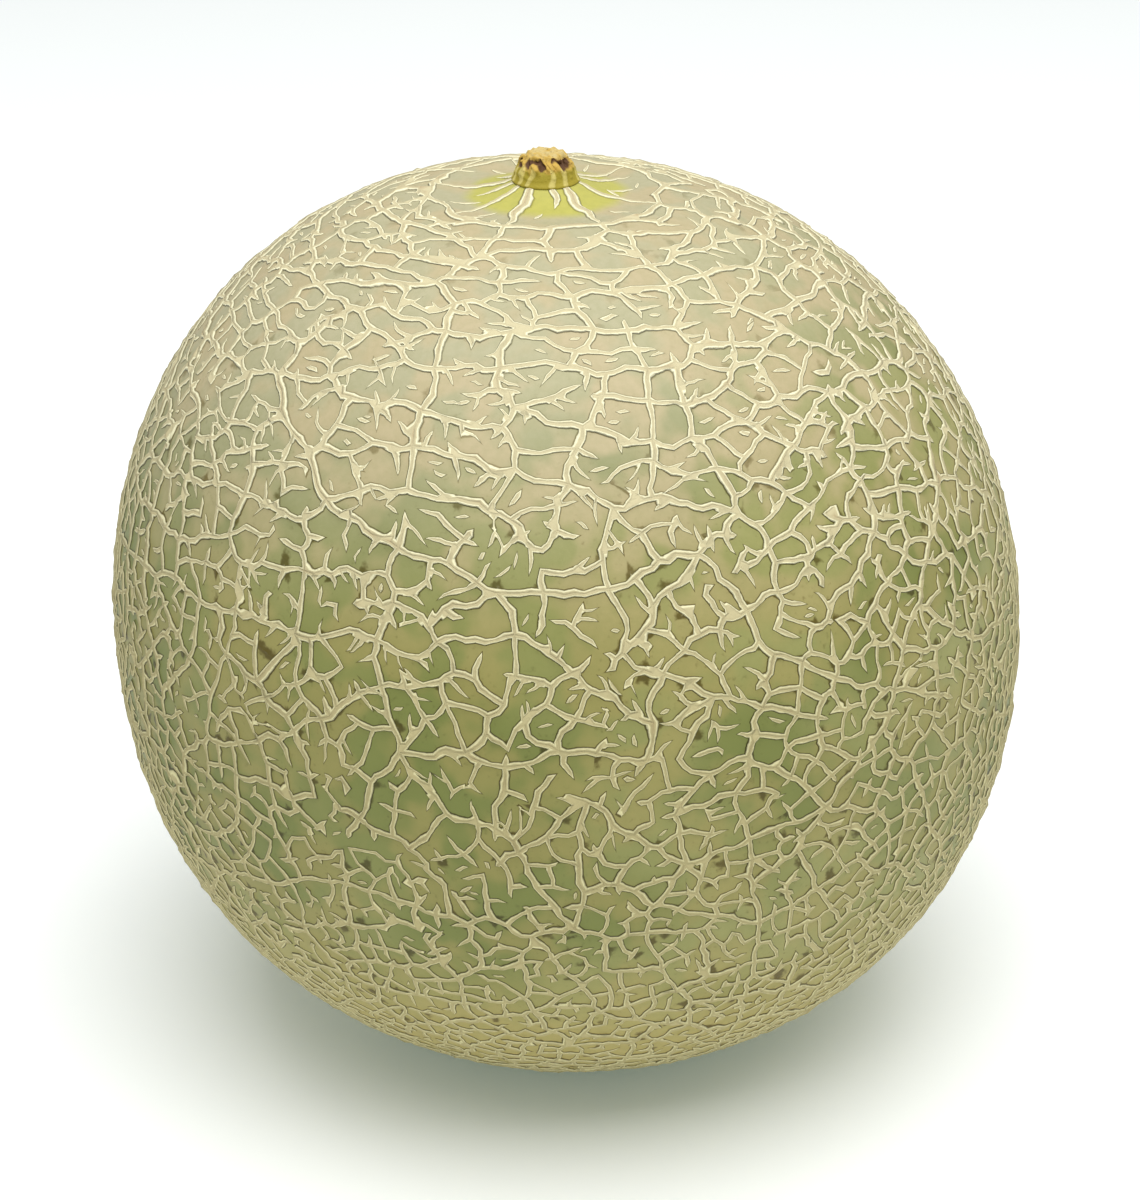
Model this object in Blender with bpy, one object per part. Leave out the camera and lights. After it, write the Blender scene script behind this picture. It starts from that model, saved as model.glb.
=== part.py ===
"""Netted cantaloupe melon with the cut stub of its stem.

The rind is one closed solid: a round body with a raised net of corky ropes, a low ribbed cone round the
stem, a blossom scar below and a small flat spot to rest on. The stub is a second solid in a shallow seat.
Origin: under the middle of the melon, on the resting plane. +Z is up, and -Y is the side that shows best.
"""
import math

import bpy
import numpy as np
from mathutils import Vector, geometry

MM = 0.001

# Body: a superellipse turned about the stem axis, a little pointed above and blunt below
RADIUS = 75.0 * MM
TOP_HALF = 76.3 * MM
TOP_POWER = 2.02
BASE_HALF = 75.1 * MM
BASE_POWER = 2.2
LEAN = 0.0207                  # sideways lean of the axis, per unit of height
CROWN_LEAN = 1.8 * MM          # extra lean at the very top
SWELL = 0.35 * MM              # slow unevenness of the body
BODY_ASIDE = (-0.03 * MM, 0.11 * MM)    # puts the origin under the middle of the melon's outermost points

# Crown: the hollow round the stem, and the cone that rises in it to carry the stub
DIP = 3.05 * MM
DIP_RADIUS = 30.0 * MM
RING_RADIUS = 18.8 * MM
CONE_RADIUS = 14.8 * MM
CONE_DEPTH = 1.5 * MM          # foot of the cone below the top of the body
CONE_RISE = 2.3 * MM
CONE_HOLLOW = 1.5
SEAT_RADIUS = 4.6 * MM
SEAT_DEPTH = 1.2 * MM
SEAT_SIDES = 18
SEAT_MARGIN = 0.5 * MM         # the ribs start this far outside the seat
RIB_SHARES = (0.0, 0.35, 0.7)  # where a rib has its points, from its start to its end
RIB_CLEAR = 0.6 * MM           # and nothing else on the cone lies nearer to it
CONE_RINGS = ((CONE_RADIUS, 22), (0.62 * CONE_RADIUS, 12))     # radius, points
GAP = 0.3 * MM

# Resting spot and blossom scar
FLAT_RADIUS = 19.0 * MM
SCAR_RADIUS = 7.5 * MM
SCAR_BED = 5.8 * MM
SCAR_DEPTH = 0.8 * MM
BOSS_RADIUS = 3.0 * MM
BOSS_HEIGHT = 0.4 * MM
SCAR_RINGS = ((SCAR_RADIUS, 18), (SCAR_BED, 14), (BOSS_RADIUS, 9))
FADE = 5.0 * MM                # the net sinks into the skin over this width round the flat spot

# Net
SEED = 41
ROPE_WIDTH = 2.3 * MM
ROPE_HEIGHT = 0.85 * MM
CELL_AREA = 131.0 * MM ** 2    # a cell larger than this is split in two
SHORTEST = 2.7 * MM            # a shorter rope is drawn together into one knot
KNOT_REACH = 2.6 * MM          # a long rope that passes a knot this closely goes through it
CROWN_STRETCH = 2.2            # length to width of the cells round the stem
STRETCH_END = 42.0             # colatitude where the stretch is half gone
STRETCH_BLUR = 0.25
GORES = 7
FIRST_GORE = -171.0            # longitude of the first gore's edge at the flat spot
CLOSE = 1e-3                   # a long rope has reached a bend when it is this near on the chart
MOST_ROPES = 4                 # ropes that a knot may hold before others keep off it
WAVER = 0.9 * MM               # sideways wander of the knots
START_COLATS = (30, 48, 66, 84, 102, 120, 138, 152)    # bends of the first ropes, from ring to flat spot
START_WANDER = 6.0             # degrees
CROWN_KNOTS = (-172, -88, -42, 8, 78, 138)     # longitudes of the knots on the first ring without a rib
RING_STEP = 18.0               # degrees from bend to bend of a ring rope
RING_WANDER = 1.1              # degrees
RING_WIDTH = 2.53 * MM
RELAX = 0.3                    # share of the way that a knot is drawn to the middle of its neighbours

# Cells: the net is most open at the front left and closest below
PLAIN_LIMIT = 0.93             # limit of a plain cell, as a share of CELL_AREA
OPEN_LON, OPEN_COLAT = -100.0, 75.0
OPEN_REACH = (38.0, 35.0)      # degrees of longitude and of colatitude
OPEN_EXTRA = 0.45
BELOW_COLAT = 118.0
BELOW_BLUR = 8.0
BELOW_LESS = 0.12
LIMIT_SPREAD = 0.15            # random spread of the limit
SKEW = 0.38                    # a split is askew by up to this many radians
OFF_MIDDLE = 0.12              # and off the middle by up to this share of the cell's size
NEAR_KNOT = 0.16               # it ends in a knot that is nearer than this share
MIDDLE_PART = (0.3, 0.7)       # or else in this part of a rope
MOST_TRIES = 5

# Ropes that stop short in a tip: their share in all, and the longitude and the reach of the open front
TIP_SHARE = 0.05
TIP_FRONT_SHARE = 0.16
TIP_FRONT_LON = -98.0
TIP_FRONT_REACH = 32.0
TIP_FRONT_COLATS = (55.0, 115.0)
TIP_LENGTH = (0.45, 0.7)
TIP_FIRST_COLAT = 45.0

# Section of a rope
CROWN_COLAT = 40.0             # above this the ropes are lower
CROWN_SHARE = 0.8
THICKEST = 1.25                # a wide rope is higher by up to this
IN_LINE = 0.6                  # two ropes are nearly in line within this many radians
DRAW_IN = 0.42                 # a foot corner reaches this share of a short rope at most

# Stub of the stem
SEAT_TAPER = 0.93
STUB_SIDES = 28
STRANDS = 9
STRAND_DEPTH = 0.25 * MM
CUT_HOLLOW = 0.4 * MM

# Finish
RIND_COLOUR = (0.52, 0.50, 0.27)
RIND_ROUGHNESS = 0.62
STUB_COLOUR = (0.42, 0.29, 0.10)
STUB_ROUGHNESS = 0.8

# Ribs down the cone: longitude, reach from the stem axis in mm, width in mm
RIBS = (
    (-169, 12.0, 1.6), (-141, 18.8, 1.6), (-110, 18.8, 2.9), (-81, 10.5, 1.8), (-63, 18.8, 2.6),
    (-20, 18.8, 1.8), (31, 16.5, 1.6), (47, 18.8, 1.6), (78, 13.0, 2.2), (108, 18.8, 1.8),
    (140, 11.5, 1.6), (166, 18.8, 2.0),
)

# Long thick ropes that show from in front: width in mm, then longitude and colatitude of each bend
LONG_ROPES = (
    (3.0, ((-112, 52), (-105, 57), (-100, 63), (-97, 72), (-94, 84), (-90, 92), (-88, 104))),
    (3.0, ((-137, 54), (-124, 57), (-108, 61), (-98, 64))),
    (2.6, ((-107, 57), (-105, 64), (-105, 73), (-108, 80))),
    (2.6, ((-103, 60), (-92, 64), (-84, 65), (-73, 60), (-62, 56))),
    (2.4, ((-92, 51), (-78, 55), (-66, 56), (-52, 60), (-40, 58))),
    (2.6, ((-72, 60), (-66, 68), (-65, 74), (-62, 82), (-63, 92), (-60, 100))),
    (2.4, ((-66, 68), (-55, 66), (-44, 66), (-33, 63))),
    (2.4, ((-28, 56), (-31, 66), (-34, 75), (-37, 86), (-36, 97))),
    (2.4, ((-88, 86), (-79, 90), (-70, 88), (-58, 87), (-46, 84))),
    (2.6, ((-152, 56), (-143, 64), (-138, 76), (-136, 88), (-130, 99))),
    (2.4, ((-128, 68), (-122, 78), (-116, 86), (-107, 89), (-97, 92))),
    (2.4, ((-104, 88), (-99, 98), (-95, 108), (-90, 118))),
    (2.4, ((-78, 98), (-72, 106), (-62, 110), (-52, 108))),
)

# Ring ropes round the crown: colatitude, first and last longitude
RING_ROPES = (
    (19.0, -178, -20), (18.0, 0, 150), (23.5, -150, 30), (24.0, 60, 170), (28.0, -120, 120),
    (28.5, 140, 230), (33.0, -170, -40), (33.0, -20, 110), (38.5, -135, -30), (39.0, 10, 160),
    (44.0, -160, -60), (45.5, -50, 60), (44.5, 90, 180),
)


def clear_scene():
    for obj in list(bpy.data.objects):
        bpy.data.objects.remove(obj, do_unlink=True)


# Directions on the rind: unit vectors, or longitude and colatitude from the stem

def direction(lon, colat):
    """Unit vector at a longitude and a colatitude, both in radians."""
    lon, colat = np.broadcast_arrays(np.asarray(lon, float), np.asarray(colat, float))
    return np.stack([np.sin(colat) * np.cos(lon), np.sin(colat) * np.sin(lon), np.cos(colat)], -1)


def angles(unit):
    """Longitude and colatitude of unit vectors."""
    x, y, z = np.moveaxis(np.asarray(unit, float), -1, 0)
    return np.arctan2(y, x), np.arctan2(np.hypot(x, y), z)


def stretch_log(level):
    """Integral of the cell stretch over ln tan(colat / 2): CROWN_STRETCH above, 1 below."""
    bend = math.log(math.tan(math.radians(STRETCH_END) / 2))
    soft = STRETCH_BLUR * np.logaddexp(0.0, (level - bend) / STRETCH_BLUR)
    return CROWN_STRETCH * level - (CROWN_STRETCH - 1) * (soft + bend)


LEVELS = np.linspace(-4.0, 5.0, 2001)
STRETCHED = stretch_log(LEVELS)


def to_growth(colat):
    """Colatitude on the growth sphere, where a cell of the net is about as long as it is wide."""
    return 2 * np.arctan(np.exp(np.interp(np.log(np.tan(colat / 2)), LEVELS, STRETCHED)))


def from_growth(colat):
    return 2 * np.arctan(np.exp(np.interp(np.log(np.tan(colat / 2)), STRETCHED, LEVELS)))


def grown(lon, colat):
    """Point of the growth sphere at a longitude and a colatitude of the melon, in degrees."""
    return direction(np.radians(lon), to_growth(np.radians(colat)))


def real(unit):
    """Direction on the melon of points of the growth sphere."""
    lon, colat = angles(unit)
    return direction(lon, from_growth(colat))


# Body

def swell(unit):
    """Slow unevenness of the body, none at the poles."""
    x, y, z = np.moveaxis(unit, -1, 0)
    wave = np.sin(2.1 * x + 3.3 * y + 1.0) + np.sin(4.3 * y - 2.9 * z + 0.4)
    wave += np.sin(3.7 * z + 2.3 * x + 2.0)
    return SWELL * wave / 2 * (1 - z ** 2)


def profile(colat):
    """Distance from the body centre at a colatitude: a superellipse, blunter below than above."""
    out, up = np.sin(colat) / RADIUS, np.abs(np.cos(colat))
    top = np.cos(colat) > 0
    power = np.where(top, TOP_POWER, BASE_POWER)
    half = np.where(top, TOP_HALF, BASE_HALF)
    return (out ** power + (up / half) ** power) ** (-1 / power)


COLATS = np.linspace(0.002, math.pi - 0.002, 4001)
REACHES = profile(COLATS) * np.sin(COLATS)
WIDEST = int(REACHES.argmax())
POLE_HEIGHT = TOP_HALF - DIP


def colat_above(reach):
    """Colatitude on the upper half at a distance from the stem axis."""
    return np.interp(reach, REACHES[:WIDEST], COLATS[:WIDEST])


def colat_below(reach):
    return np.interp(reach, REACHES[:WIDEST:-1], COLATS[:WIDEST:-1])


def rest_depth():
    """How far the flat spot lies below the middle of the body."""
    colat = colat_below(FLAT_RADIUS)
    return -float(profile(colat) * np.cos(colat))


BODY_CENTRE = np.array([BODY_ASIDE[0], BODY_ASIDE[1], rest_depth()])


def crown_height(reach, height):
    """Height round the stem: a shallow moat inside the first ring, and the hollow-sided cone."""
    moat = np.clip((RING_RADIUS - reach) / (RING_RADIUS - CONE_RADIUS), 0, 1)
    moat = moat * moat * (3 - 2 * moat)
    rise = np.clip((CONE_RADIUS - reach) / (CONE_RADIUS - SEAT_RADIUS), 0, 1) ** CONE_HOLLOW
    return height + (POLE_HEIGHT - CONE_DEPTH - height) * moat + CONE_RISE * rise


def scar_height(reach):
    """Underside of the blossom scar: a shallow round hollow with a low boss in its middle."""
    hollow = np.clip((SCAR_RADIUS - reach) / (SCAR_RADIUS - SCAR_BED), 0, 1)
    boss = np.clip((BOSS_RADIUS - reach) / BOSS_RADIUS, 0, 1)
    return SCAR_DEPTH * hollow - BOSS_HEIGHT * boss


def surface(unit, rise=0.0):
    """Points of the rind in directions from the body centre, raised by so much from the skin."""
    lon, colat = angles(unit)
    far = profile(colat) + swell(unit)
    reach, height = far * np.sin(colat), far * np.cos(colat)
    above = height > 0
    height = height - np.where(above, DIP * np.exp(-(reach / DIP_RADIUS) ** 2), 0)
    height = np.where(above, crown_height(reach, height), height)
    point = np.stack([reach * np.cos(lon), reach * np.sin(lon), height], -1)
    point = point + np.asarray(rise)[..., None] * unit
    height = point[..., 2]
    point[..., 0] -= LEAN * height + CROWN_LEAN * (np.maximum(height, 0) / TOP_HALF) ** 2
    point = point + BODY_CENTRE
    flat = (~above) & (reach <= FLAT_RADIUS * 1.0001)
    point[..., 2] = np.where(flat, scar_height(reach), np.maximum(point[..., 2], 0.0))
    return point


# The net: nodes joined by ropes, with a cell between them on every side

class Net:
    def __init__(self):
        self.place = []        # each node's point on the growth sphere
        self.cells = []        # each cell's nodes, anticlockwise from outside
        self.owner = {}        # (node, next node) of a cell, and that cell
        self.rope = {}         # {node, node} and the width of the rope between them
        self.hold = []         # number of ropes at each node

    def node(self, unit):
        self.place.append(np.asarray(unit, float) / np.linalg.norm(unit))
        self.hold.append(0)
        return len(self.place) - 1

    def join(self, a, b, width):
        if frozenset((a, b)) not in self.rope:
            self.hold[a] += 1
            self.hold[b] += 1
        self.rope[frozenset((a, b))] = width

    def part(self, a, b):
        self.hold[a] -= 1
        self.hold[b] -= 1
        return self.rope.pop(frozenset((a, b)))

    def add_cell(self, loop):
        self.cells.append(list(loop))
        self.own(len(self.cells) - 1)

    def own(self, cell):
        loop = self.cells[cell]
        for a, b in zip(loop, loop[1:] + loop[:1]):
            self.owner[(a, b)] = cell

    def split_rope(self, a, b, unit):
        """Put a new node on the rope between a and b."""
        k = self.node(unit)
        for p, q in ((a, b), (b, a)):
            cell = self.owner.pop((p, q), None)
            if cell is not None:
                loop = self.cells[cell]
                loop.insert(loop.index(p) + 1, k)
                self.owner[(p, k)] = self.owner[(k, q)] = cell
        width = self.part(a, b)
        self.join(a, k, width)
        self.join(k, b, width)
        return k

    def split_cell(self, cell, a, b, bends, width):
        """Run a rope across a cell from its node a to its node b, through the nodes in bends."""
        loop = self.cells[cell]
        turn = loop.index(a)
        loop = loop[turn:] + loop[:turn]
        cut = loop.index(b)
        self.cells[cell] = loop[:cut + 1] + bends[::-1]
        self.own(cell)
        self.add_cell(loop[cut:] + [a] + bends)
        chain = [a] + bends + [b]
        for p, q in zip(chain, chain[1:]):
            self.join(p, q, width)

    def length(self, a, b):
        """Length on the melon of the rope between two nodes."""
        ends = real(np.array([self.place[a], self.place[b]]))
        return RADIUS * float(np.linalg.norm(ends[0] - ends[1]))

    def neighbours(self):
        around = {}
        for a, b in self.rope:
            around.setdefault(a, []).append(b)
            around.setdefault(b, []).append(a)
        return around


def flat_map(points, middle):
    """Points round a middle laid flat, each at its true distance and bearing from it."""
    east, north = compass(middle)
    x, y = points @ east, points @ north
    side = np.hypot(x, y)
    reach = np.arctan2(side, points @ middle) / np.maximum(side, 1e-12)
    return np.stack([x * reach, y * reach], -1)


def round_map(flat, middle):
    """The sphere's points for places laid flat round a middle."""
    east, north = compass(middle)
    reach = np.linalg.norm(flat, axis=-1, keepdims=True)
    share = np.sin(reach) / np.maximum(reach, 1e-12)
    return middle * np.cos(reach) + (flat[..., :1] * east + flat[..., 1:] * north) * share


def compass(middle):
    east = np.cross((0.0, 0.0, 1.0), middle)
    east /= np.linalg.norm(east)
    return east, np.cross(middle, east)


def cell_shape(points):
    """Area, flat outline, middle and long axis of a cell given by its corners on a unit sphere."""
    centre = points.mean(0)
    flat = flat_map(points, centre / np.linalg.norm(centre))
    ahead = np.roll(flat, -1, 0)
    cross = flat[:, 0] * ahead[:, 1] - ahead[:, 0] * flat[:, 1]
    area = cross.sum() / 2
    middle = ((flat + ahead) * cross[:, None]).sum(0) / (6 * area)
    arm = (flat + ahead) / 2 - middle
    spread = (arm * np.linalg.norm(ahead - flat, axis=1)[:, None]).T @ arm
    return area, flat, middle, np.linalg.eigh(spread)[1][:, 1]


def cell_limit(middle):
    """Largest cell at a place: open towards the front left, closer at the sides and below."""
    lon, colat = np.degrees(angles(middle))
    aside, below = math.remainder(lon - OPEN_LON, 360) / OPEN_REACH[0], colat - OPEN_COLAT
    open_front = math.exp(-aside ** 2 - (below / OPEN_REACH[1]) ** 2)
    low = 1 / (1 + math.exp(-(colat - BELOW_COLAT) / BELOW_BLUR))
    return CELL_AREA * (PLAIN_LIMIT + OPEN_EXTRA * open_front - BELOW_LESS * low)


def halve_cell(net, cell, width, rng):
    """Split a cell across its long axis, a little off the middle and a little askew."""
    loop = list(net.cells[cell])
    points = np.array([net.place[k] for k in loop])
    area, flat, middle, axis = cell_shape(points)
    tilt = rng.uniform(-SKEW, SKEW)
    turned = np.array([axis[0] * math.cos(tilt) - axis[1] * math.sin(tilt),
                       axis[0] * math.sin(tilt) + axis[1] * math.cos(tilt)])
    side = (flat - middle) @ turned - rng.uniform(-OFF_MIDDLE, OFF_MIDDLE) * math.sqrt(area)
    ends = [i for i in range(len(loop)) if (side[i] > 0) != (side[i - 1] > 0)]
    if len(ends) != 2:
        return False
    nodes = []
    for i in ends:
        a, b = loop[i - 1], loop[i]
        share = side[i - 1] / (side[i - 1] - side[i])
        length = np.linalg.norm(flat[i] - flat[i - 1]) / math.sqrt(area)
        if share * length < NEAR_KNOT and net.hold[a] < MOST_ROPES:
            nodes.append(a)
        elif (1 - share) * length < NEAR_KNOT and net.hold[b] < MOST_ROPES:
            nodes.append(b)
        else:
            share = min(max(share, MIDDLE_PART[0]), MIDDLE_PART[1])
            nodes.append(net.split_rope(a, b, points[i - 1] * (1 - share) + points[i] * share))
    loop = net.cells[cell]
    apart = abs(loop.index(nodes[0]) - loop.index(nodes[1]))
    if 2 <= apart <= len(loop) - 2:
        net.split_cell(cell, nodes[0], nodes[1], [], width)
        return True
    return False


def grow_cells(net, width, rng):
    """Split every cell that is too large, and its halves, until none is."""
    queue = list(range(len(net.cells)))
    tries = {}
    while queue:
        cell = queue.pop()
        points = np.array([net.place[k] for k in net.cells[cell]])
        middle = real(points.mean(0) / np.linalg.norm(points.mean(0)))
        area = cell_shape(real(points))[0] * RADIUS ** 2
        limit = cell_limit(middle) * rng.uniform(1 - LIMIT_SPREAD, 1 + LIMIT_SPREAD)
        if area < limit or tries.get(cell, 0) > MOST_TRIES:
            continue
        tries[cell] = tries.get(cell, 0) + 1
        if halve_cell(net, cell, width, rng):
            tries[cell] = 0
            queue.append(len(net.cells) - 1)
        queue.append(cell)


def start_net(rng):
    """A ring round the crown, a ring round the flat spot, and wavy ropes from one to the other."""
    net = Net()
    ring_colat, flat_colat = np.degrees(colat_above(RING_RADIUS)), np.degrees(colat_below(FLAT_RADIUS))
    rib_lons = [lon for lon, reach, width in RIBS if reach * MM >= RING_RADIUS]
    top_lons = sorted(rib_lons + list(CROWN_KNOTS))
    top = [net.node(grown(lon, ring_colat)) for lon in top_lons]
    base_lons = [360 * i / (3 * GORES) + FIRST_GORE for i in range(3 * GORES)]
    base = [net.node(grown(lon, flat_colat)) for lon in base_lons]
    lines = []
    starts = []
    for g in range(GORES):
        low = base_lons[3 * g]
        start = min(range(len(top)), key=lambda i: abs(math.remainder(top_lons[i] - low, 360)))
        high = low + math.remainder(top_lons[start] - low, 360)
        starts.append(start)
        chain = [top[start]]
        for colat in START_COLATS:
            share = (colat - ring_colat) / (flat_colat - ring_colat)
            lon = high + (low - high) * share + rng.uniform(-START_WANDER, START_WANDER)
            chain.append(net.node(grown(lon, colat)))
        lines.append(chain + [base[3 * g]])
    for g in range(GORES):
        left, right = lines[g], lines[(g + 1) % GORES]
        count = (starts[(g + 1) % GORES] - starts[g]) % len(top)
        upper = [top[(starts[g] + i) % len(top)] for i in range(1, count)]
        net.add_cell(left + [base[3 * g + 1], base[3 * g + 2]] + right[::-1] + upper[::-1])
        for a, b in zip(left, left[1:]):
            net.join(a, b, ROPE_WIDTH)
    for ring in (top, base):
        for a, b in zip(ring, ring[1:] + ring[:1]):
            net.join(a, b, ROPE_WIDTH)
    return net, set(top), set(base)


# Long ropes, laid over the cells that are already there

def chart(unit, near):
    """Longitude next to a given one, and height on Mercator's chart of the growth sphere."""
    lon, colat = angles(unit)
    return np.array([near + math.remainder(lon - near, 2 * math.pi), -math.log(math.tan(colat / 2))])


def crossing(p, q, a, b):
    """Shares of p-q and of a-b where the two meet, or None."""
    u, v, w = q - p, b - a, a - p
    cross = u[0] * v[1] - u[1] * v[0]
    if abs(cross) < 1e-15:
        return None
    s, t = (w[0] * v[1] - w[1] * v[0]) / cross, (w[0] * u[1] - w[1] * u[0]) / cross
    return (s, t) if 1e-6 < s <= 1 and 0 <= t <= 1 else None


def cell_ahead(net, k, target):
    """The cell at node k that lies towards a place on the chart."""
    here = chart(net.place[k], target[0])
    bearing = math.atan2(target[1] - here[1], target[0] - here[0])
    for (a, after), cell in net.owner.items():
        if a != k:
            continue
        loop = net.cells[cell]
        before = loop[loop.index(k) - 1]
        first, last = (chart(net.place[n], here[0]) - here for n in (after, before))
        turn = (bearing - math.atan2(first[1], first[0])) % (2 * math.pi)
        if turn < (math.atan2(last[1], last[0]) - math.atan2(first[1], first[0])) % (2 * math.pi):
            return cell
    return None


def nearest_knot(net, place):
    """The node nearest to a place on the growth sphere."""
    gaps = np.linalg.norm(np.array(net.place) - place, axis=1)
    for k in np.argsort(gaps):
        if any(int(k) == a for a, b in net.owner):
            return int(k)


def far_side(net, cell, spot, target, here):
    """Where the way from spot to target leaves a cell: the share of it, the rope's share and its ends.

    The ropes at the node here, where the way may start, don't count."""
    loop = net.cells[cell]
    found = None
    for a, b in zip(loop, loop[1:] + loop[:1]):
        if here in (a, b):
            continue
        met = crossing(spot, target, chart(net.place[a], spot[0]), chart(net.place[b], spot[0]))
        if met and (found is None or met[0] < found[0]):
            found = (*met, a, b)
    return found


def knot_on(net, share, a, b):
    """The knot at a share of the rope a-b: an end that is close and has room, or a new one."""
    near, gap = (a, share) if share < 0.5 else (b, 1 - share)
    reach = KNOT_REACH if net.hold[near] < MOST_ROPES else KNOT_REACH / 2
    if gap * net.length(a, b) < reach:
        return near
    return net.split_rope(a, b, net.place[a] * (1 - share) + net.place[b] * share)


def lay_rope(net, points, width):
    """Lay one long rope from knot to knot, through every cell that it crosses.

    It starts at the knot nearest to its first point. In a cell it runs straight to the far side, or bends
    at its own points in there. A last stretch that would end inside a cell is left off."""
    here = nearest_knot(net, points[0])
    spot = chart(net.place[here], angles(points[0])[0])
    cell, bends = None, []
    for point in points[1:]:
        target = chart(point, spot[0])
        if not bends:
            cell = cell_ahead(net, here, target)
        while cell is not None:
            far = far_side(net, cell, spot, target, None if bends else here)
            if far is None:
                bends.append(net.node(point))
                spot = target
                break
            k = knot_on(net, *far[1:])
            if not bends and frozenset((here, k)) in net.rope:
                net.join(here, k, max(width, net.rope[frozenset((here, k))]))
            elif k != here:
                net.split_cell(cell, here, k, bends, width)
            here, bends = k, []
            spot = chart(net.place[k], spot[0])
            cell = cell_ahead(net, here, target) if np.linalg.norm(target - spot) > CLOSE else None


def draw_together(net, fixed):
    """Close up each rope that is too short, so that its two knots become one."""
    for pair in sorted(net.rope, key=lambda pair: (net.length(*pair), sorted(pair))):
        if pair not in net.rope or net.length(*pair) > SHORTEST:
            continue
        keep, gone = sorted(pair, key=lambda k: (k not in fixed, k))
        around = net.neighbours()
        cells = [net.owner.get((keep, gone)), net.owner.get((gone, keep))]
        if gone in fixed or any(c is None or len(net.cells[c]) < 4 for c in cells):
            continue
        if set(around[keep]) & set(around[gone]) or net.hold[keep] + net.hold[gone] > MOST_ROPES + 3:
            continue
        if keep not in fixed:
            middle = net.place[keep] + net.place[gone]
            net.place[keep] = middle / np.linalg.norm(middle)
        net.part(keep, gone)
        for other in around[gone]:
            if other != keep:
                net.join(keep, other, net.part(gone, other))
        for cell in {c for (a, b), c in net.owner.items() if gone in (a, b)}:
            loop = [keep if k == gone else k for k in net.cells[cell]]
            net.cells[cell] = [k for i, k in enumerate(loop) if k != loop[i - 1]]
        net.owner = {}
        for cell in range(len(net.cells)):
            net.own(cell)


def relax(net, fixed):
    """Draw each knot a little towards its neighbours, so that side ropes bend the rope they leave."""
    around = net.neighbours()
    old = list(net.place)
    for k, others in around.items():
        if k not in fixed and len(others) > 2:
            mean = sum(old[n] for n in others) / len(others)
            moved = old[k] * (1 - RELAX) + mean * RELAX
            net.place[k] = moved / np.linalg.norm(moved)


def grow_net():
    rng = np.random.default_rng(SEED)
    net, top, base = start_net(rng)
    for colat, first, last in RING_ROPES:
        lons = np.arange(first, last + 1, RING_STEP)
        wander = rng.uniform(-RING_WANDER, RING_WANDER, len(lons))
        lay_rope(net, [grown(lon, colat + w) for lon, w in zip(lons, wander)], RING_WIDTH)
    for width, bends in LONG_ROPES:
        lay_rope(net, [grown(lon, colat) for lon, colat in bends], width * MM)
    grow_cells(net, ROPE_WIDTH, rng)
    rings = rim_nodes(net, top), rim_nodes(net, base)
    fixed = rings[0] | rings[1]
    draw_together(net, fixed)
    relax(net, fixed)
    draw_together(net, fixed)
    return net, rings


def rim_nodes(net, start):
    """All the nodes on the outer edge of the net that holds the start nodes."""
    ahead = {a: b for b, a in net.owner if (a, b) not in net.owner}
    first = min(start)
    found = [first]
    while ahead[found[-1]] != first:
        found.append(ahead[found[-1]])
    return set(found)


# Relief: every rope has a crest line, and a foot line on each side of it

class Relief:
    def __init__(self):
        self.points = []       # unit vectors on the melon
        self.rise = []
        self.lines = []        # pairs of points that must be joined by an edge

    def point(self, unit, rise=0.0):
        self.points.append(np.asarray(unit, float))
        self.rise.append(rise)
        return len(self.points) - 1

    def circle(self, lons, colat, closed=True):
        """Points round the stem axis at one colatitude, joined in a ring."""
        ring = [self.point(direction(lon, colat)) for lon in lons]
        if closed:
            self.lines += list(zip(ring, ring[1:] + ring[:1]))
        return ring


def waver(unit):
    """Sideways wander of a direction, slow enough to leave every cell whole."""
    x, y, z = unit[..., 0], unit[..., 1], unit[..., 2]
    drift = np.stack([np.sin(9 * y + 13 * z + 1.1) + np.sin(21 * z - 12 * x + 0.3),
                      np.sin(11 * z - 8 * x + 2.3) + np.sin(17 * x + 14 * y + 1.9),
                      np.sin(10 * x + 9 * y + 0.7) + np.sin(19 * y - 13 * z + 2.9)], -1)
    moved = unit + drift * (WAVER / RADIUS / 2) * (1 - z[..., None] ** 2)
    return moved / np.linalg.norm(moved, axis=-1, keepdims=True)


def rope_height(unit, width):
    """Height of a rope by its width and place: lower round the stem, none at the flat spot."""
    colat = angles(unit)[1]
    reach = float(profile(colat) * math.sin(colat))
    fade = 1.0 if unit[2] > 0 else min(max((reach - FLAT_RADIUS) / FADE, 0.0), 1.0)
    share = CROWN_SHARE if math.degrees(colat) < CROWN_COLAT else 1.0
    return ROPE_HEIGHT * min(width / ROPE_WIDTH, THICKEST) * share * fade


def corner(u, v, wide_u, wide_v, long_u, long_v):
    """Where the feet of two ropes meet beside a knot, in the sector from rope u round to rope v.

    Each foot runs half a width beside its rope. Where the ropes are nearly in line the corner stands
    square to them, and it is drawn in where it would pass the middle of a short rope."""
    turn = math.atan2(u[0] * v[1] - u[1] * v[0], u @ v) % (2 * math.pi)
    middle = math.atan2(u[1], u[0]) + turn / 2
    half = (wide_u + wide_v) / 4
    if abs(turn - math.pi) < IN_LINE:
        return half / math.sin(turn / 2) * np.array([math.cos(middle), math.sin(middle)])
    sine = math.sin(turn)
    along_u, along_v = wide_v / 2 / sine, wide_u / 2 / sine
    spot = along_u * u + along_v * v
    reach = max(abs(spot @ u) / long_u, abs(spot @ v) / long_v, 1e-9)
    return spot * min(1.0, DRAW_IN / reach)


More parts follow.
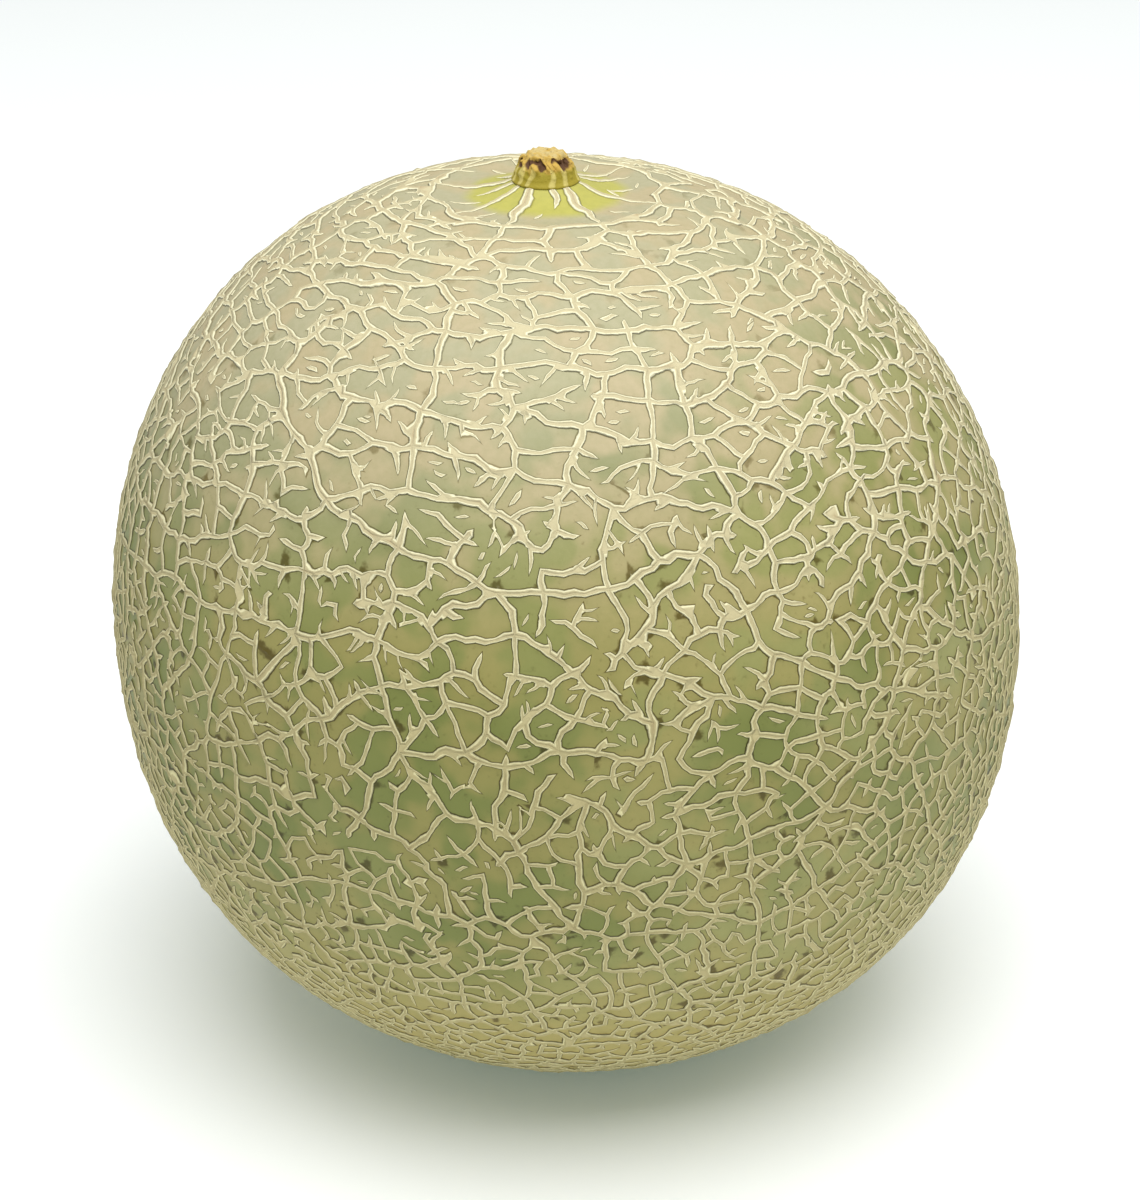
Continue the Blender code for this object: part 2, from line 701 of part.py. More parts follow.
def raise_ropes(relief, places, ropes, tips):
    """Add the crest and the feet of ropes (a, b, width) between places, running out at the tips."""
    around = {}
    for a, b, width in ropes:
        around.setdefault(a, []).append((b, width))
        around.setdefault(b, []).append((a, width))
    crest, left, right = {}, {}, {}
    for k, others in around.items():
        here = places[k]
        if k in tips or len(others) == 1:
            crest[k] = relief.point(here)
            continue
        crest[k] = relief.point(here, rope_height(here, max(width for b, width in others)))
        flat = flat_map(np.array([places[b] for b, width in others]), here)
        length = np.linalg.norm(flat, axis=1)
        ways = flat / length[:, None]
        order = sorted(range(len(others)), key=lambda i: math.atan2(ways[i][1], ways[i][0]))
        for i, j in zip(order, order[1:] + order[:1]):
            wide = others[i][1] / RADIUS, others[j][1] / RADIUS
            spot = corner(ways[i], ways[j], *wide, length[i], length[j])
            foot = relief.point(round_map(spot, here))
            left[(k, others[i][0])] = foot
            right[(k, others[j][0])] = foot
    for a, b, width in ropes:
        relief.lines.append((crest[a], crest[b]))
        for near, far in ((left, right), (right, left)):
            ends = near.get((a, b), crest[a]), far.get((b, a), crest[b])
            if ends[0] != ends[1] and set(ends) != {crest[a], crest[b]}:
                relief.lines.append(ends)
    return crest


def open_ropes(net, places, fixed, rng):
    """The net's ropes, some of them stopping short in a tip, most of those at the open front."""
    ropes, tips = [], set()
    for pair in sorted(net.rope, key=sorted):
        a, b = sorted(pair)
        width = net.rope[pair]
        lon, colat = np.degrees(angles(places[a]))
        front = abs(math.remainder(lon - TIP_FRONT_LON, 360)) < TIP_FRONT_REACH
        front = front and TIP_FRONT_COLATS[0] < colat < TIP_FRONT_COLATS[1]
        share = TIP_FRONT_SHARE if front else TIP_SHARE
        draw, reach = rng.random(), rng.uniform(*TIP_LENGTH)
        if draw < share and width <= ROPE_WIDTH and not {a, b} & fixed and colat > TIP_FIRST_COLAT:
            tip = places[a] * (1 - reach) + places[b] * reach
            places.append(tip / np.linalg.norm(tip))
            tips.add(len(places) - 1)
            ropes.append((a, len(places) - 1, width))
        else:
            ropes.append((a, b, width))
    return ropes, tips


def rib_ropes(net, places, top):
    """Ribs from the stem down the cone: spindles, some of them joined to the first ring."""
    ropes, tips = [], set()
    for lon_deg, reach_mm, width_mm in RIBS:
        lon, reach, width = math.radians(lon_deg), reach_mm * MM, width_mm * MM
        chain = []
        for share in RIB_SHARES:
            out = SEAT_RADIUS + SEAT_MARGIN + (reach - SEAT_RADIUS) * share
            places.append(direction(lon, colat_above(out)))
            chain.append(len(places) - 1)
        tips.add(chain[0])
        if reach >= RING_RADIUS:
            chain.append(min(top, key=lambda k: -places[k] @ direction(lon, colat_above(reach))))
        else:
            places.append(direction(lon, colat_above(reach)))
            chain.append(len(places) - 1)
            tips.add(chain[-1])
        ropes += [(a, b, width) for a, b in zip(chain, chain[1:])]
    return ropes, tips


def on_circle(unit, colat):
    """A direction moved along its own meridian to a colatitude."""
    return direction(angles(unit)[0], colat)


def clear_of_ribs(lon, reach):
    """Whether a place on the cone lies beside every rib."""
    for rib, end, width in RIBS:
        aside = abs(math.remainder(lon - math.radians(rib), 2 * math.pi)) * reach
        if aside < width * MM / 2 + RIB_CLEAR and reach < end * MM + SEAT_MARGIN:
            return False
    return True


def turn_round(count):
    return [2 * math.pi * i / count for i in range(count)]


def melon_relief():
    """All the points of the rind, with the lines that must be edges, and the ring round the seat."""
    net, (top, base) = grow_net()
    rng = np.random.default_rng(SEED + 1)
    places = list(waver(real(np.array(net.place))))
    for k in top:
        places[k] = on_circle(real(net.place[k]), colat_above(RING_RADIUS))
    for k in base:
        places[k] = on_circle(real(net.place[k]), colat_below(FLAT_RADIUS))
    base_ropes = {pair for pair in net.rope if pair <= base}
    for pair in base_ropes:
        del net.rope[pair]
    ropes, tips = open_ropes(net, places, top | base, rng)
    ribs, rib_tips = rib_ropes(net, places, top)
    relief = Relief()
    crest = raise_ropes(relief, places, ropes + ribs, tips | rib_tips | base)
    for k in base:
        if k not in crest:
            crest[k] = relief.point(places[k])
    relief.lines += [tuple(crest[k] for k in sorted(pair)) for pair in base_ropes]
    for reach, count in CONE_RINGS:
        clear = [lon for lon in turn_round(count) if clear_of_ribs(lon, reach)]
        relief.circle(clear, colat_above(reach), closed=False)
    for reach, count in SCAR_RINGS:
        relief.circle(turn_round(count), colat_below(reach))
    relief.point((0.0, 0.0, -1.0))
    seat = relief.circle(turn_round(SEAT_SIDES), colat_above(SEAT_RADIUS))
    return relief, seat


def skin_over(relief, seat):
    """Join the points into one closed skin, by a Delaunay net on the chart seen from the stem's pole."""
    unit = np.array(relief.points)
    flat = unit[:, :2] / (1 - unit[:, 2:3])
    found = geometry.delaunay_2d_cdt([Vector(p) for p in flat], relief.lines, [], 0, 1e-9)
    spots, faces, origin = np.array([tuple(p) for p in found[0]]), found[2], found[3]
    square = (spots ** 2).sum(1)
    unit = np.column_stack([2 * spots, square - 1]) / (square + 1)[:, None]
    rise = np.array([max((relief.rise[i] for i in source), default=0.0) for source in origin])
    verts = [tuple(p) for p in surface(unit, rise)]
    at = {i: n for n, source in enumerate(origin) for i in source}
    rim = [at[i] for i in seat]
    centre = np.mean([verts[i] for i in rim], axis=0)
    floor = []
    for i in rim:
        point = centre + (np.array(verts[i]) - centre) * SEAT_TAPER
        floor.append(len(verts))
        verts.append((point[0], point[1], point[2] - SEAT_DEPTH))
    verts.append((centre[0], centre[1], centre[2] - SEAT_DEPTH))
    faces = [tuple(face)[::-1] for face in faces]
    for i, j, p, q in zip(rim, rim[1:] + rim[:1], floor, floor[1:] + floor[:1]):
        faces += [(i, j, q), (i, q, p), (p, q, len(verts) - 1)]
    return verts, faces, centre


def mesh_object(name, verts, faces, colour, roughness):
    mesh = bpy.data.meshes.new(name)
    mesh.from_pydata(verts, [], faces)
    material = bpy.data.materials.new(name)
    material.use_nodes = True
    shader = material.node_tree.nodes["Principled BSDF"]
    shader.inputs["Base Color"].default_value = (*colour, 1)
    shader.inputs["Roughness"].default_value = roughness
    mesh.materials.append(material)
    obj = bpy.data.objects.new(name, mesh)
    bpy.context.scene.collection.objects.link(obj)
    return obj


def make_melon():
    relief, seat = melon_relief()
    verts, faces, centre = skin_over(relief, seat)
    melon = mesh_object("melon", verts, faces, RIND_COLOUR, RIND_ROUGHNESS)
    return melon, centre


# Stub of the stem: height above the seat's rim and radius, from the root up to the cut

STUB_PROFILE = (
    (-SEAT_DEPTH + GAP, 3.85 * MM), (0.2 * MM, 4.15 * MM), (1.3 * MM, 4.45 * MM), (2.1 * MM, 4.0 * MM),
    (2.8 * MM, 4.35 * MM), (3.6 * MM, 3.7 * MM), (4.4 * MM, 3.1 * MM), (4.9 * MM, 2.2 * MM),
)


def make_stub(seat_centre):
    """A turned stub with a waist, fluted by the strands that dried on it, and cut off at the top."""
    verts, faces = [], []
    for level, (height, radius) in enumerate(STUB_PROFILE):
        share = level / (len(STUB_PROFILE) - 1)
        for lon in turn_round(STUB_SIDES):
            flute = math.sin(STRANDS * lon + 1.7 * share) * STRAND_DEPTH * math.sin(math.pi * share)
            bump = 0.5 * STRAND_DEPTH * math.sin(3 * lon + 4 * share) * share
            out = radius + flute + bump
            verts.append((seat_centre[0] + out * math.cos(lon), seat_centre[1] + out * math.sin(lon),
                          seat_centre[2] + height))
    for level in range(len(STUB_PROFILE) - 1):
        low, high = level * STUB_SIDES, (level + 1) * STUB_SIDES
        for i in range(STUB_SIDES):
            j = (i + 1) % STUB_SIDES
            faces += [(low + i, low + j, high + j), (low + i, high + j, high + i)]
    last = len(verts) - STUB_SIDES
    root, cut = STUB_PROFILE[0][0], STUB_PROFILE[-1][0] - CUT_HOLLOW
    for ring, height, turned in ((0, root, True), (last, cut, False)):
        verts.append((seat_centre[0], seat_centre[1], seat_centre[2] + height))
        for i in range(STUB_SIDES):
            face = (ring + i, ring + (i + 1) % STUB_SIDES, len(verts) - 1)
            faces.append(face[::-1] if turned else face)
    return mesh_object("stem_stub", verts, faces, STUB_COLOUR, STUB_ROUGHNESS)


clear_scene()
melon, seat_centre = make_melon()
make_stub(seat_centre)
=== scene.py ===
# %% [markdown]
# # A netted cantaloupe melon
# The fruit stands on its blossom end and shows the cut stub of its stem on top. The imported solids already
# have the right size and place, with a coarse net. This lesson grows the fine corky net and the finish of
# the skin over them, and keeps everything inside the box of the solids.

# %% The frame
import math

import bpy
import numpy as np
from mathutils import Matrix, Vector, geometry


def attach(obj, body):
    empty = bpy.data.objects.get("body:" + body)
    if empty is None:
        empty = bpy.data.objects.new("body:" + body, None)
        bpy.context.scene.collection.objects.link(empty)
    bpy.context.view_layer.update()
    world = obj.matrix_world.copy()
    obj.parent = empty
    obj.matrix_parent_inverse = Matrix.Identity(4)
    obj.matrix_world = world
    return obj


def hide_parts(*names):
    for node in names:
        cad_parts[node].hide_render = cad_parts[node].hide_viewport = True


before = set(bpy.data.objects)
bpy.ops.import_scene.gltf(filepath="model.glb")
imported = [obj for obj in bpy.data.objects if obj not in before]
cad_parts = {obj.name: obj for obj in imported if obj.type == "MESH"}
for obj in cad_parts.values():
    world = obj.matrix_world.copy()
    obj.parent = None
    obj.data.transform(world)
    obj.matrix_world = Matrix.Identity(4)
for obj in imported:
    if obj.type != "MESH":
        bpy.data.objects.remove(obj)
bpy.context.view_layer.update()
MM = 0.001

# %% [markdown]
# The camera looks at the middle of the body from 25 degrees above, as the photograph does. A long lens from
# half a metre away gives the outline its right proportions, because a nearer camera would hide the crown.

# %% Camera
BODY_ASIDE = (-0.03 * MM, 0.11 * MM)
CAMERA_HEIGHT = 24.84          # degrees above the horizon
CAMERA_AWAY = 525 * MM
LENS = 93.84
SHIFT = (0.003, 0.00425)
AIM = Vector((*BODY_ASIDE, 73.39 * MM))        # the middle of the body


def place_camera(target):
    """Camera on a sphere round the target, at CAMERA_HEIGHT above its horizon and in front, at -Y."""
    data = bpy.data.cameras.new("camera")
    data.lens = LENS
    data.shift_x, data.shift_y = SHIFT
    camera = bpy.data.objects.new("camera", data)
    rise = math.radians(CAMERA_HEIGHT)
    camera.location = target + Vector((0, -math.cos(rise), math.sin(rise))) * CAMERA_AWAY
    camera.rotation_euler = (math.pi / 2 - rise, 0, 0)
    bpy.context.scene.collection.objects.link(camera)
    bpy.context.scene.camera = camera
    return camera


camera = place_camera(AIM)
print("camera at", [round(c, 3) for c in camera.location])

# %% [markdown]
# ## The body
# A melon grows round its stem axis, so a turned profile gives its shape. A superellipse that is a little
# pointed above and blunt below fits this one. The crown has a shallow hollow with a low cone in it, which
# carries the stem. All of it is one function of a direction from the body's centre, so that the net can be
# drawn on a plain sphere first and lifted onto the melon at the end.

# %% Profile of the body
RADIUS = 75.0 * MM
TOP_HALF, TOP_POWER = 76.3 * MM, 2.02
BASE_HALF, BASE_POWER = 75.1 * MM, 2.2
LEAN, CROWN_LEAN = 0.0207, 1.8 * MM
SWELL = 0.35 * MM
DIP, DIP_RADIUS = 3.05 * MM, 30.0 * MM
RING_RADIUS = 18.8 * MM
CONE_RADIUS, CONE_DEPTH, CONE_RISE, CONE_HOLLOW = 14.8 * MM, 1.5 * MM, 2.55 * MM, 2.3
SEAT_RADIUS, SEAT_DEPTH, SEAT_TAPER = 4.6 * MM, 1.2 * MM, 0.93
FLAT_RADIUS = 19.0 * MM


def unit_of(vectors):
    """Vectors scaled to length one."""
    return vectors / np.linalg.norm(vectors, axis=-1, keepdims=True)


def direction(lon, colat):
    """Unit vector at a longitude and a colatitude, both in radians."""
    lon, colat = np.broadcast_arrays(np.asarray(lon, float), np.asarray(colat, float))
    return np.stack([np.sin(colat) * np.cos(lon), np.sin(colat) * np.sin(lon), np.cos(colat)], -1)


def angles(unit):
    """Longitude and colatitude of unit vectors."""
    x, y, z = np.moveaxis(np.asarray(unit, float), -1, 0)
    return np.arctan2(y, x), np.arctan2(np.hypot(x, y), z)


def half_turn(angle):
    """An angle in radians brought to within half a turn of 0."""
    return (angle + math.pi) % (2 * math.pi) - math.pi


def swell(unit):
    """Slow unevenness of the body: three crossed sine waves, none at the poles."""
    x, y, z = np.moveaxis(unit, -1, 0)
    wave = np.sin(2.1 * x + 3.3 * y + 1.0) + np.sin(4.3 * y - 2.9 * z + 0.4)
    wave += np.sin(3.7 * z + 2.3 * x + 2.0)
    return SWELL * wave / 2 * (1 - z ** 2)


def profile(colat):
    """Superellipse: (sin / RADIUS)^p + (cos / HALF)^p = 1 / distance^p, with its own HALF and p below."""
    out, up = np.sin(colat) / RADIUS, np.abs(np.cos(colat))
    top = np.cos(colat) > 0
    power = np.where(top, TOP_POWER, BASE_POWER)
    half = np.where(top, TOP_HALF, BASE_HALF)
    return (out ** power + (up / half) ** power) ** (-1 / power)


POLE_GAP = 0.002
COLATS = np.linspace(POLE_GAP, math.pi - POLE_GAP, 4001)
REACHES = profile(COLATS) * np.sin(COLATS)
WIDEST = int(REACHES.argmax())


def colat_above(reach):
    """Colatitude on the upper half at a distance from the stem axis, read off the profile."""
    return np.interp(reach, REACHES[:WIDEST], COLATS[:WIDEST])


def colat_below(reach):
    """Colatitude on the lower half at a distance from the stem axis."""
    return np.interp(reach, REACHES[:WIDEST:-1], COLATS[:WIDEST:-1])


FLAT_COLAT = colat_below(FLAT_RADIUS)
REST_DEPTH = -float(profile(FLAT_COLAT) * np.cos(FLAT_COLAT))
BODY_CENTRE = np.array([*BODY_ASIDE, REST_DEPTH])
print("middle of the body is", round(REST_DEPTH / MM, 2), "mm above its resting spot")

# %% [markdown]
# The underside is hidden in the photograph but is finished too. The melon rests on the flattened crests of
# its net, so the skin between them stays a little clear of the table. The blossom scar is a shallow round
# hollow of cork with a low boss.

# %% Crown, underside and the whole surface
LIFT = 0.42 * MM
LIFT_BLEND = 0.5 * MM
SCAR_RADIUS, SCAR_BED, SCAR_DEPTH = 7.5 * MM, 5.8 * MM, 0.7 * MM
BOSS_RADIUS, BOSS_HEIGHT = 3.0 * MM, 0.45 * MM


def soft_step(value):
    """Smooth step from 0 to 1: 3 v^2 - 2 v^3, with v kept between 0 and 1."""
    value = np.clip(value, 0, 1)
    return value * value * (3 - 2 * value)


def crown_height(reach, height):
    """Height round the stem: a moat by a smooth step inside the first ring, and a cone whose height is
    its rise, from 0 at its foot to 1 at the seat, to the power CONE_HOLLOW."""
    moat = soft_step((RING_RADIUS - reach) / (RING_RADIUS - CONE_RADIUS))
    rise = np.clip((CONE_RADIUS - reach) / (CONE_RADIUS - SEAT_RADIUS), 0, 1) ** CONE_HOLLOW
    return height + (TOP_HALF - DIP - CONE_DEPTH - height) * moat + CONE_RISE * rise


def underside(reach, height):
    """Lowest height that the skin may have: LIFT, and inside the scar a hollow with a boss in it."""
    soft = LIFT_BLEND * np.logaddexp(0, (height - LIFT) / LIFT_BLEND) + LIFT
    hollow = np.clip((SCAR_RADIUS - reach) / (SCAR_RADIUS - SCAR_BED), 0, 1)
    scar = SCAR_DEPTH * hollow - BOSS_HEIGHT * soft_step((BOSS_RADIUS - reach) / BOSS_RADIUS)
    return np.where(height > 3 * LIFT_BLEND, height, soft) + scar


def surface(unit, rise=0.0):
    """Point of the rind in each direction: profile, swell, crown, then the rise, the lean and the base."""
    lon, colat = angles(unit)
    far = profile(colat) + swell(unit)
    reach, height = far * np.sin(colat), far * np.cos(colat)
    above = height > 0
    height = height - np.where(above, DIP * np.exp(-(reach / DIP_RADIUS) ** 2), 0)
    height = np.where(above, crown_height(reach, height), height)
    point = np.stack([reach * np.cos(lon), reach * np.sin(lon), height], -1)
    point[..., 0] -= LEAN * height + CROWN_LEAN * (np.maximum(height, 0) / TOP_HALF) ** 2
    point = point + BODY_CENTRE
    point[..., 2] = np.where(above, point[..., 2], underside(reach, point[..., 2]))
    point = point + np.asarray(rise)[..., None] * unit
    point[..., 2] = np.maximum(point[..., 2], 0.0)
    return point


poles = surface(np.array([(0.0, 0.0, 1.0), (0.0, 0.0, -1.0)]))
print("bare skin at the poles is", (poles[:, 2] / MM).round(2).tolist(), "mm above the table")

# %% [markdown]
# ## The net as a map
# Cork forms where the skin splits as the fruit swells. The first splits are long, and each plate between
# them splits again across its long side, over and over. The net is grown in the same way: a map of cells
# that are halved one after another. Round the stem the cells are flat bricks in rings, so the map is kept
# on a growth sphere, where they are as long as they are wide. The solids' own net comes first, with the
# same draws, so that the fine net runs along the same main ropes.

# %% Growth sphere
SEED = 41
ROPE_WIDTH = 2.3 * MM
RING_WIDTH = 2.53 * MM
CELL_AREA = 131.0 * MM ** 2
SHORTEST = 2.7 * MM
KNOT_REACH = 2.6 * MM
CROWN_STRETCH = 2.2
STRETCH_END = 42.0
STRETCH_BLUR = 0.25
MOST_ROPES = 4
CLOSE = 1e-3


def stretch_log(level):
    """Integral of the cell stretch over ln tan(colat / 2): CROWN_STRETCH above, 1 below."""
    bend = math.log(math.tan(math.radians(STRETCH_END) / 2))
    soft = STRETCH_BLUR * np.logaddexp(0.0, (level - bend) / STRETCH_BLUR)
    return CROWN_STRETCH * level - (CROWN_STRETCH - 1) * (soft + bend)


LEVELS = np.linspace(-4.0, 5.0, 2001)
STRETCHED = stretch_log(LEVELS)


def to_growth(colat):
    """Colatitude on the growth sphere: its ln tan(colat / 2) is the stretched one of the melon's."""
    return 2 * np.arctan(np.exp(np.interp(np.log(np.tan(colat / 2)), LEVELS, STRETCHED)))


def from_growth(colat):
    """The melon's colatitude of one on the growth sphere."""
    return 2 * np.arctan(np.exp(np.interp(np.log(np.tan(colat / 2)), STRETCHED, LEVELS)))


def grown(lon, colat):
    """Point of the growth sphere at a longitude and a colatitude of the melon, in degrees."""
    return direction(np.radians(lon), to_growth(np.radians(colat)))


def real(unit):
    """Direction on the melon of points of the growth sphere."""
    lon, colat = angles(unit)
    return direction(lon, from_growth(colat))


twenty_grown = math.degrees(to_growth(math.radians(20)))
print("20 degrees from the stem become", round(twenty_grown, 1), "on the growth sphere")

# %% [markdown]
# A net is a planar map: nodes, ropes between them, and cells. Two moves are enough to grow it. One puts a
# new node on a rope, and the other runs a rope across a cell and so makes two of it.

# %% Net


class Net:
    """Nodes on the growth sphere, ropes (pairs of nodes with a width) and cells (loops of nodes)."""

    def __init__(self):
        self.place = []        # each node's point
        self.cells = []        # each cell's nodes, anticlockwise from outside
        self.owner = {}        # (node, next node) of a cell, and that cell
        self.rope = {}         # {node, node} and the width of the rope between them
        self.hold = []         # number of ropes at each node

    def node(self, unit):
        """Put a node in a direction; gives its number."""
        self.place.append(np.asarray(unit, float) / np.linalg.norm(unit))
        self.hold.append(0)
        return len(self.place) - 1

    def join(self, a, b, width):
        """Make a rope between two nodes, or give the one that is there a new width."""
        if frozenset((a, b)) not in self.rope:
            self.hold[a] += 1
            self.hold[b] += 1
        self.rope[frozenset((a, b))] = width

    def part(self, a, b):
        """Take a rope away; gives its width."""
        self.hold[a] -= 1
        self.hold[b] -= 1
        return self.rope.pop(frozenset((a, b)))

    def add_cell(self, loop):
        """Make a cell of a loop of nodes."""
        self.cells.append(list(loop))
        self.own(len(self.cells) - 1)

    def own(self, cell):
        """Note for each side of a cell that it belongs to it."""
        loop = self.cells[cell]
        for a, b in zip(loop, loop[1:] + loop[:1]):
            self.owner[(a, b)] = cell

    def split_rope(self, a, b, unit):
        """Put a new node on the rope between a and b."""
        k = self.node(unit)
        for p, q in ((a, b), (b, a)):
            cell = self.owner.pop((p, q), None)
            if cell is not None:
                loop = self.cells[cell]
                loop.insert(loop.index(p) + 1, k)
                self.owner[(p, k)] = self.owner[(k, q)] = cell
        width = self.part(a, b)
        self.join(a, k, width)
        self.join(k, b, width)
        return k

    def split_cell(self, cell, a, b, bends, width):
        """Run a rope across a cell from its node a to its node b, through the nodes in bends."""
        loop = self.cells[cell]
        turn = loop.index(a)
        loop = loop[turn:] + loop[:turn]
        cut = loop.index(b)
        self.cells[cell] = loop[:cut + 1] + bends[::-1]
        self.own(cell)
        self.add_cell(loop[cut:] + [a] + bends)
        chain = [a] + bends + [b]
        for p, q in zip(chain, chain[1:]):
            self.join(p, q, width)

    def length(self, a, b):
        """Length on the melon of the rope between two nodes."""
        ends = real(np.array([self.place[a], self.place[b]]))
        return RADIUS * float(np.linalg.norm(ends[0] - ends[1]))

    def neighbours(self):
        """For each node, the nodes that a rope joins to it."""
        around = {}
        for a, b in self.rope:
            around.setdefault(a, []).append(b)
            around.setdefault(b, []).append(a)
        return around


# %% [markdown]
# A cell is measured on a flat map round its middle. The halving cut runs across the long axis, a little
# askew and off the middle, because neat halves would look like brickwork. The limit of a cell's area
# depends on its place: the net is most open at the front left and closest below.

# %% Shape and limit of a cell
PLAIN_LIMIT = 0.93
OPEN_LON, OPEN_COLAT = -100.0, 75.0
OPEN_REACH = (38.0, 35.0)
OPEN_EXTRA = 0.45
BELOW_COLAT, BELOW_BLUR, BELOW_LESS = 118.0, 8.0, 0.12


def between(first, second, share):
    """The place or value at a share of the way from one to another."""
    return first * (1 - share) + second * share


def compass(middle):
    """East and north of places on the sphere."""
    east = unit_of(np.cross((0.0, 0.0, 1.0), middle))
    return east, np.cross(middle, east)


def flat_map(points, middle):
    """Points round a middle laid flat, each at its true distance and bearing from it."""
    east, north = compass(middle)
    x, y = points @ east, points @ north
    side = np.hypot(x, y)
    reach = np.arctan2(side, points @ middle) / np.maximum(side, 1e-12)
    return np.stack([x * reach, y * reach], -1)


def cell_shape(points):
    """Area, flat outline, middle and long axis of a cell, by the sums over the edges of a polygon."""
    centre = points.mean(0)
    flat = flat_map(points, centre / np.linalg.norm(centre))
    ahead = np.roll(flat, -1, 0)
    cross = flat[:, 0] * ahead[:, 1] - ahead[:, 0] * flat[:, 1]
    area = cross.sum() / 2
    middle = ((flat + ahead) * cross[:, None]).sum(0) / (6 * area)
    arm = (flat + ahead) / 2 - middle
    spread = (arm * np.linalg.norm(ahead - flat, axis=1)[:, None]).T @ arm
    return area, flat, middle, np.linalg.eigh(spread)[1][:, 1]


def cell_limit(middle):
    """Largest cell at a place: a bell curve round the open front left, less below."""
    lon, colat = np.degrees(angles(middle))
    aside, below = math.remainder(lon - OPEN_LON, 360) / OPEN_REACH[0], colat - OPEN_COLAT
    open_front = math.exp(-aside ** 2 - (below / OPEN_REACH[1]) ** 2)
    low = 1 / (1 + math.exp(-(colat - BELOW_COLAT) / BELOW_BLUR))
    return CELL_AREA * (PLAIN_LIMIT + OPEN_EXTRA * open_front - BELOW_LESS * low)


front_and_back = direction(np.radians([OPEN_LON, OPEN_LON + 180]), math.radians(OPEN_COLAT))
limits = [cell_limit(place) / MM ** 2 for place in front_and_back]
print("largest cells of the open front and of the back", [round(limit) for limit in limits], "square mm")

# %% [markdown]
# A cut that would end close to a knot ends in the knot itself, unless that holds enough ropes already, so
# that few slivers of rope are left.

# %% Halving cells
LIMIT_SPREAD = 0.15
SKEW = 0.38
OFF_MIDDLE = 0.12
NEAR_KNOT = 0.16
MIDDLE_PART = (0.3, 0.7)
MOST_TRIES = 5


def halve_cell(net, cell, width, rng):
    """Split a cell by a line across its long axis; the cut ends in a knot where one is near."""
    loop = list(net.cells[cell])
    points = np.array([net.place[k] for k in loop])
    area, flat, middle, axis = cell_shape(points)
    tilt = rng.uniform(-SKEW, SKEW)
    turned = np.array([axis[0] * math.cos(tilt) - axis[1] * math.sin(tilt),
                       axis[0] * math.sin(tilt) + axis[1] * math.cos(tilt)])
    side = (flat - middle) @ turned - rng.uniform(-OFF_MIDDLE, OFF_MIDDLE) * math.sqrt(area)
    ends = [i for i in range(len(loop)) if (side[i] > 0) != (side[i - 1] > 0)]
    if len(ends) != 2:
        return False
    nodes = []
    for i in ends:
        a, b = loop[i - 1], loop[i]
        share = side[i - 1] / (side[i - 1] - side[i])
        length = np.linalg.norm(flat[i] - flat[i - 1]) / math.sqrt(area)
        if share * length < NEAR_KNOT and net.hold[a] < MOST_ROPES:
            nodes.append(a)
        elif (1 - share) * length < NEAR_KNOT and net.hold[b] < MOST_ROPES:
            nodes.append(b)
        else:
            share = min(max(share, MIDDLE_PART[0]), MIDDLE_PART[1])
            nodes.append(net.split_rope(a, b, between(points[i - 1], points[i], share)))
    loop = net.cells[cell]
    apart = abs(loop.index(nodes[0]) - loop.index(nodes[1]))
    if 2 <= apart <= len(loop) - 2:
        net.split_cell(cell, nodes[0], nodes[1], [], width)
        return True
    return False


def grow_cells(net, rng, limit_at, pick_width=None):
    """Split every cell that is above the limit at its place, and its halves, until none is."""
    queue = list(range(len(net.cells)))
    tries = {}
    while queue:
        cell = queue.pop()
        points = np.array([net.place[k] for k in net.cells[cell]])
        middle = real(points.mean(0) / np.linalg.norm(points.mean(0)))
        area = cell_shape(real(points))[0] * RADIUS ** 2
        limit = limit_at(middle) * rng.uniform(1 - LIMIT_SPREAD, 1 + LIMIT_SPREAD)
        if area < limit or tries.get(cell, 0) > MOST_TRIES:
            continue
        tries[cell] = tries.get(cell, 0) + 1
        width = pick_width(rng) if pick_width else ROPE_WIDTH
        if halve_cell(net, cell, width, rng):
            tries[cell] = 0
            queue.append(len(net.cells) - 1)
        queue.append(cell)


# %% [markdown]
# Some ropes are older and thicker than the rest: long diagonal ones at the front, and rings round the
# crown. Each is laid over the cells from knot to knot, so that it still fits the map.

# %% The way across a cell
PARALLEL = 1e-15               # two ways whose cross product is less never meet
LEAST_SHARE = 1e-6             # a meeting nearer to the start than this is the start itself


def chart(unit, near):
    """Longitude next to a given one, and height on Mercator's chart of the growth sphere."""
    lon, colat = angles(unit)
    return np.array([near + math.remainder(lon - near, 2 * math.pi), -math.log(math.tan(colat / 2))])


def crossing(p, q, a, b):
    """Shares of p-q and of a-b where the two meet, or None."""
    u, v, w = q - p, b - a, a - p
    cross = u[0] * v[1] - u[1] * v[0]
    if abs(cross) < PARALLEL:
        return None
    s, t = (w[0] * v[1] - w[1] * v[0]) / cross, (w[0] * u[1] - w[1] * u[0]) / cross
    return (s, t) if LEAST_SHARE < s <= 1 and 0 <= t <= 1 else None


def cell_ahead(net, k, target):
    """The cell at node k that lies towards a place on the chart."""
    here = chart(net.place[k], target[0])
    bearing = math.atan2(target[1] - here[1], target[0] - here[0])
    for (a, after), cell in net.owner.items():
        if a != k:
            continue
        loop = net.cells[cell]
        before = loop[loop.index(k) - 1]
        first, last = (chart(net.place[n], here[0]) - here for n in (after, before))
        turn = (bearing - math.atan2(first[1], first[0])) % (2 * math.pi)
        if turn < (math.atan2(last[1], last[0]) - math.atan2(first[1], first[0])) % (2 * math.pi):
            return cell
    return None


def nearest_knot(net, place):
    """The node nearest to a place on the growth sphere."""
    gaps = np.linalg.norm(np.array(net.place) - place, axis=1)
    for k in np.argsort(gaps):
        if any(int(k) == way[0] for way in net.owner):
            return int(k)


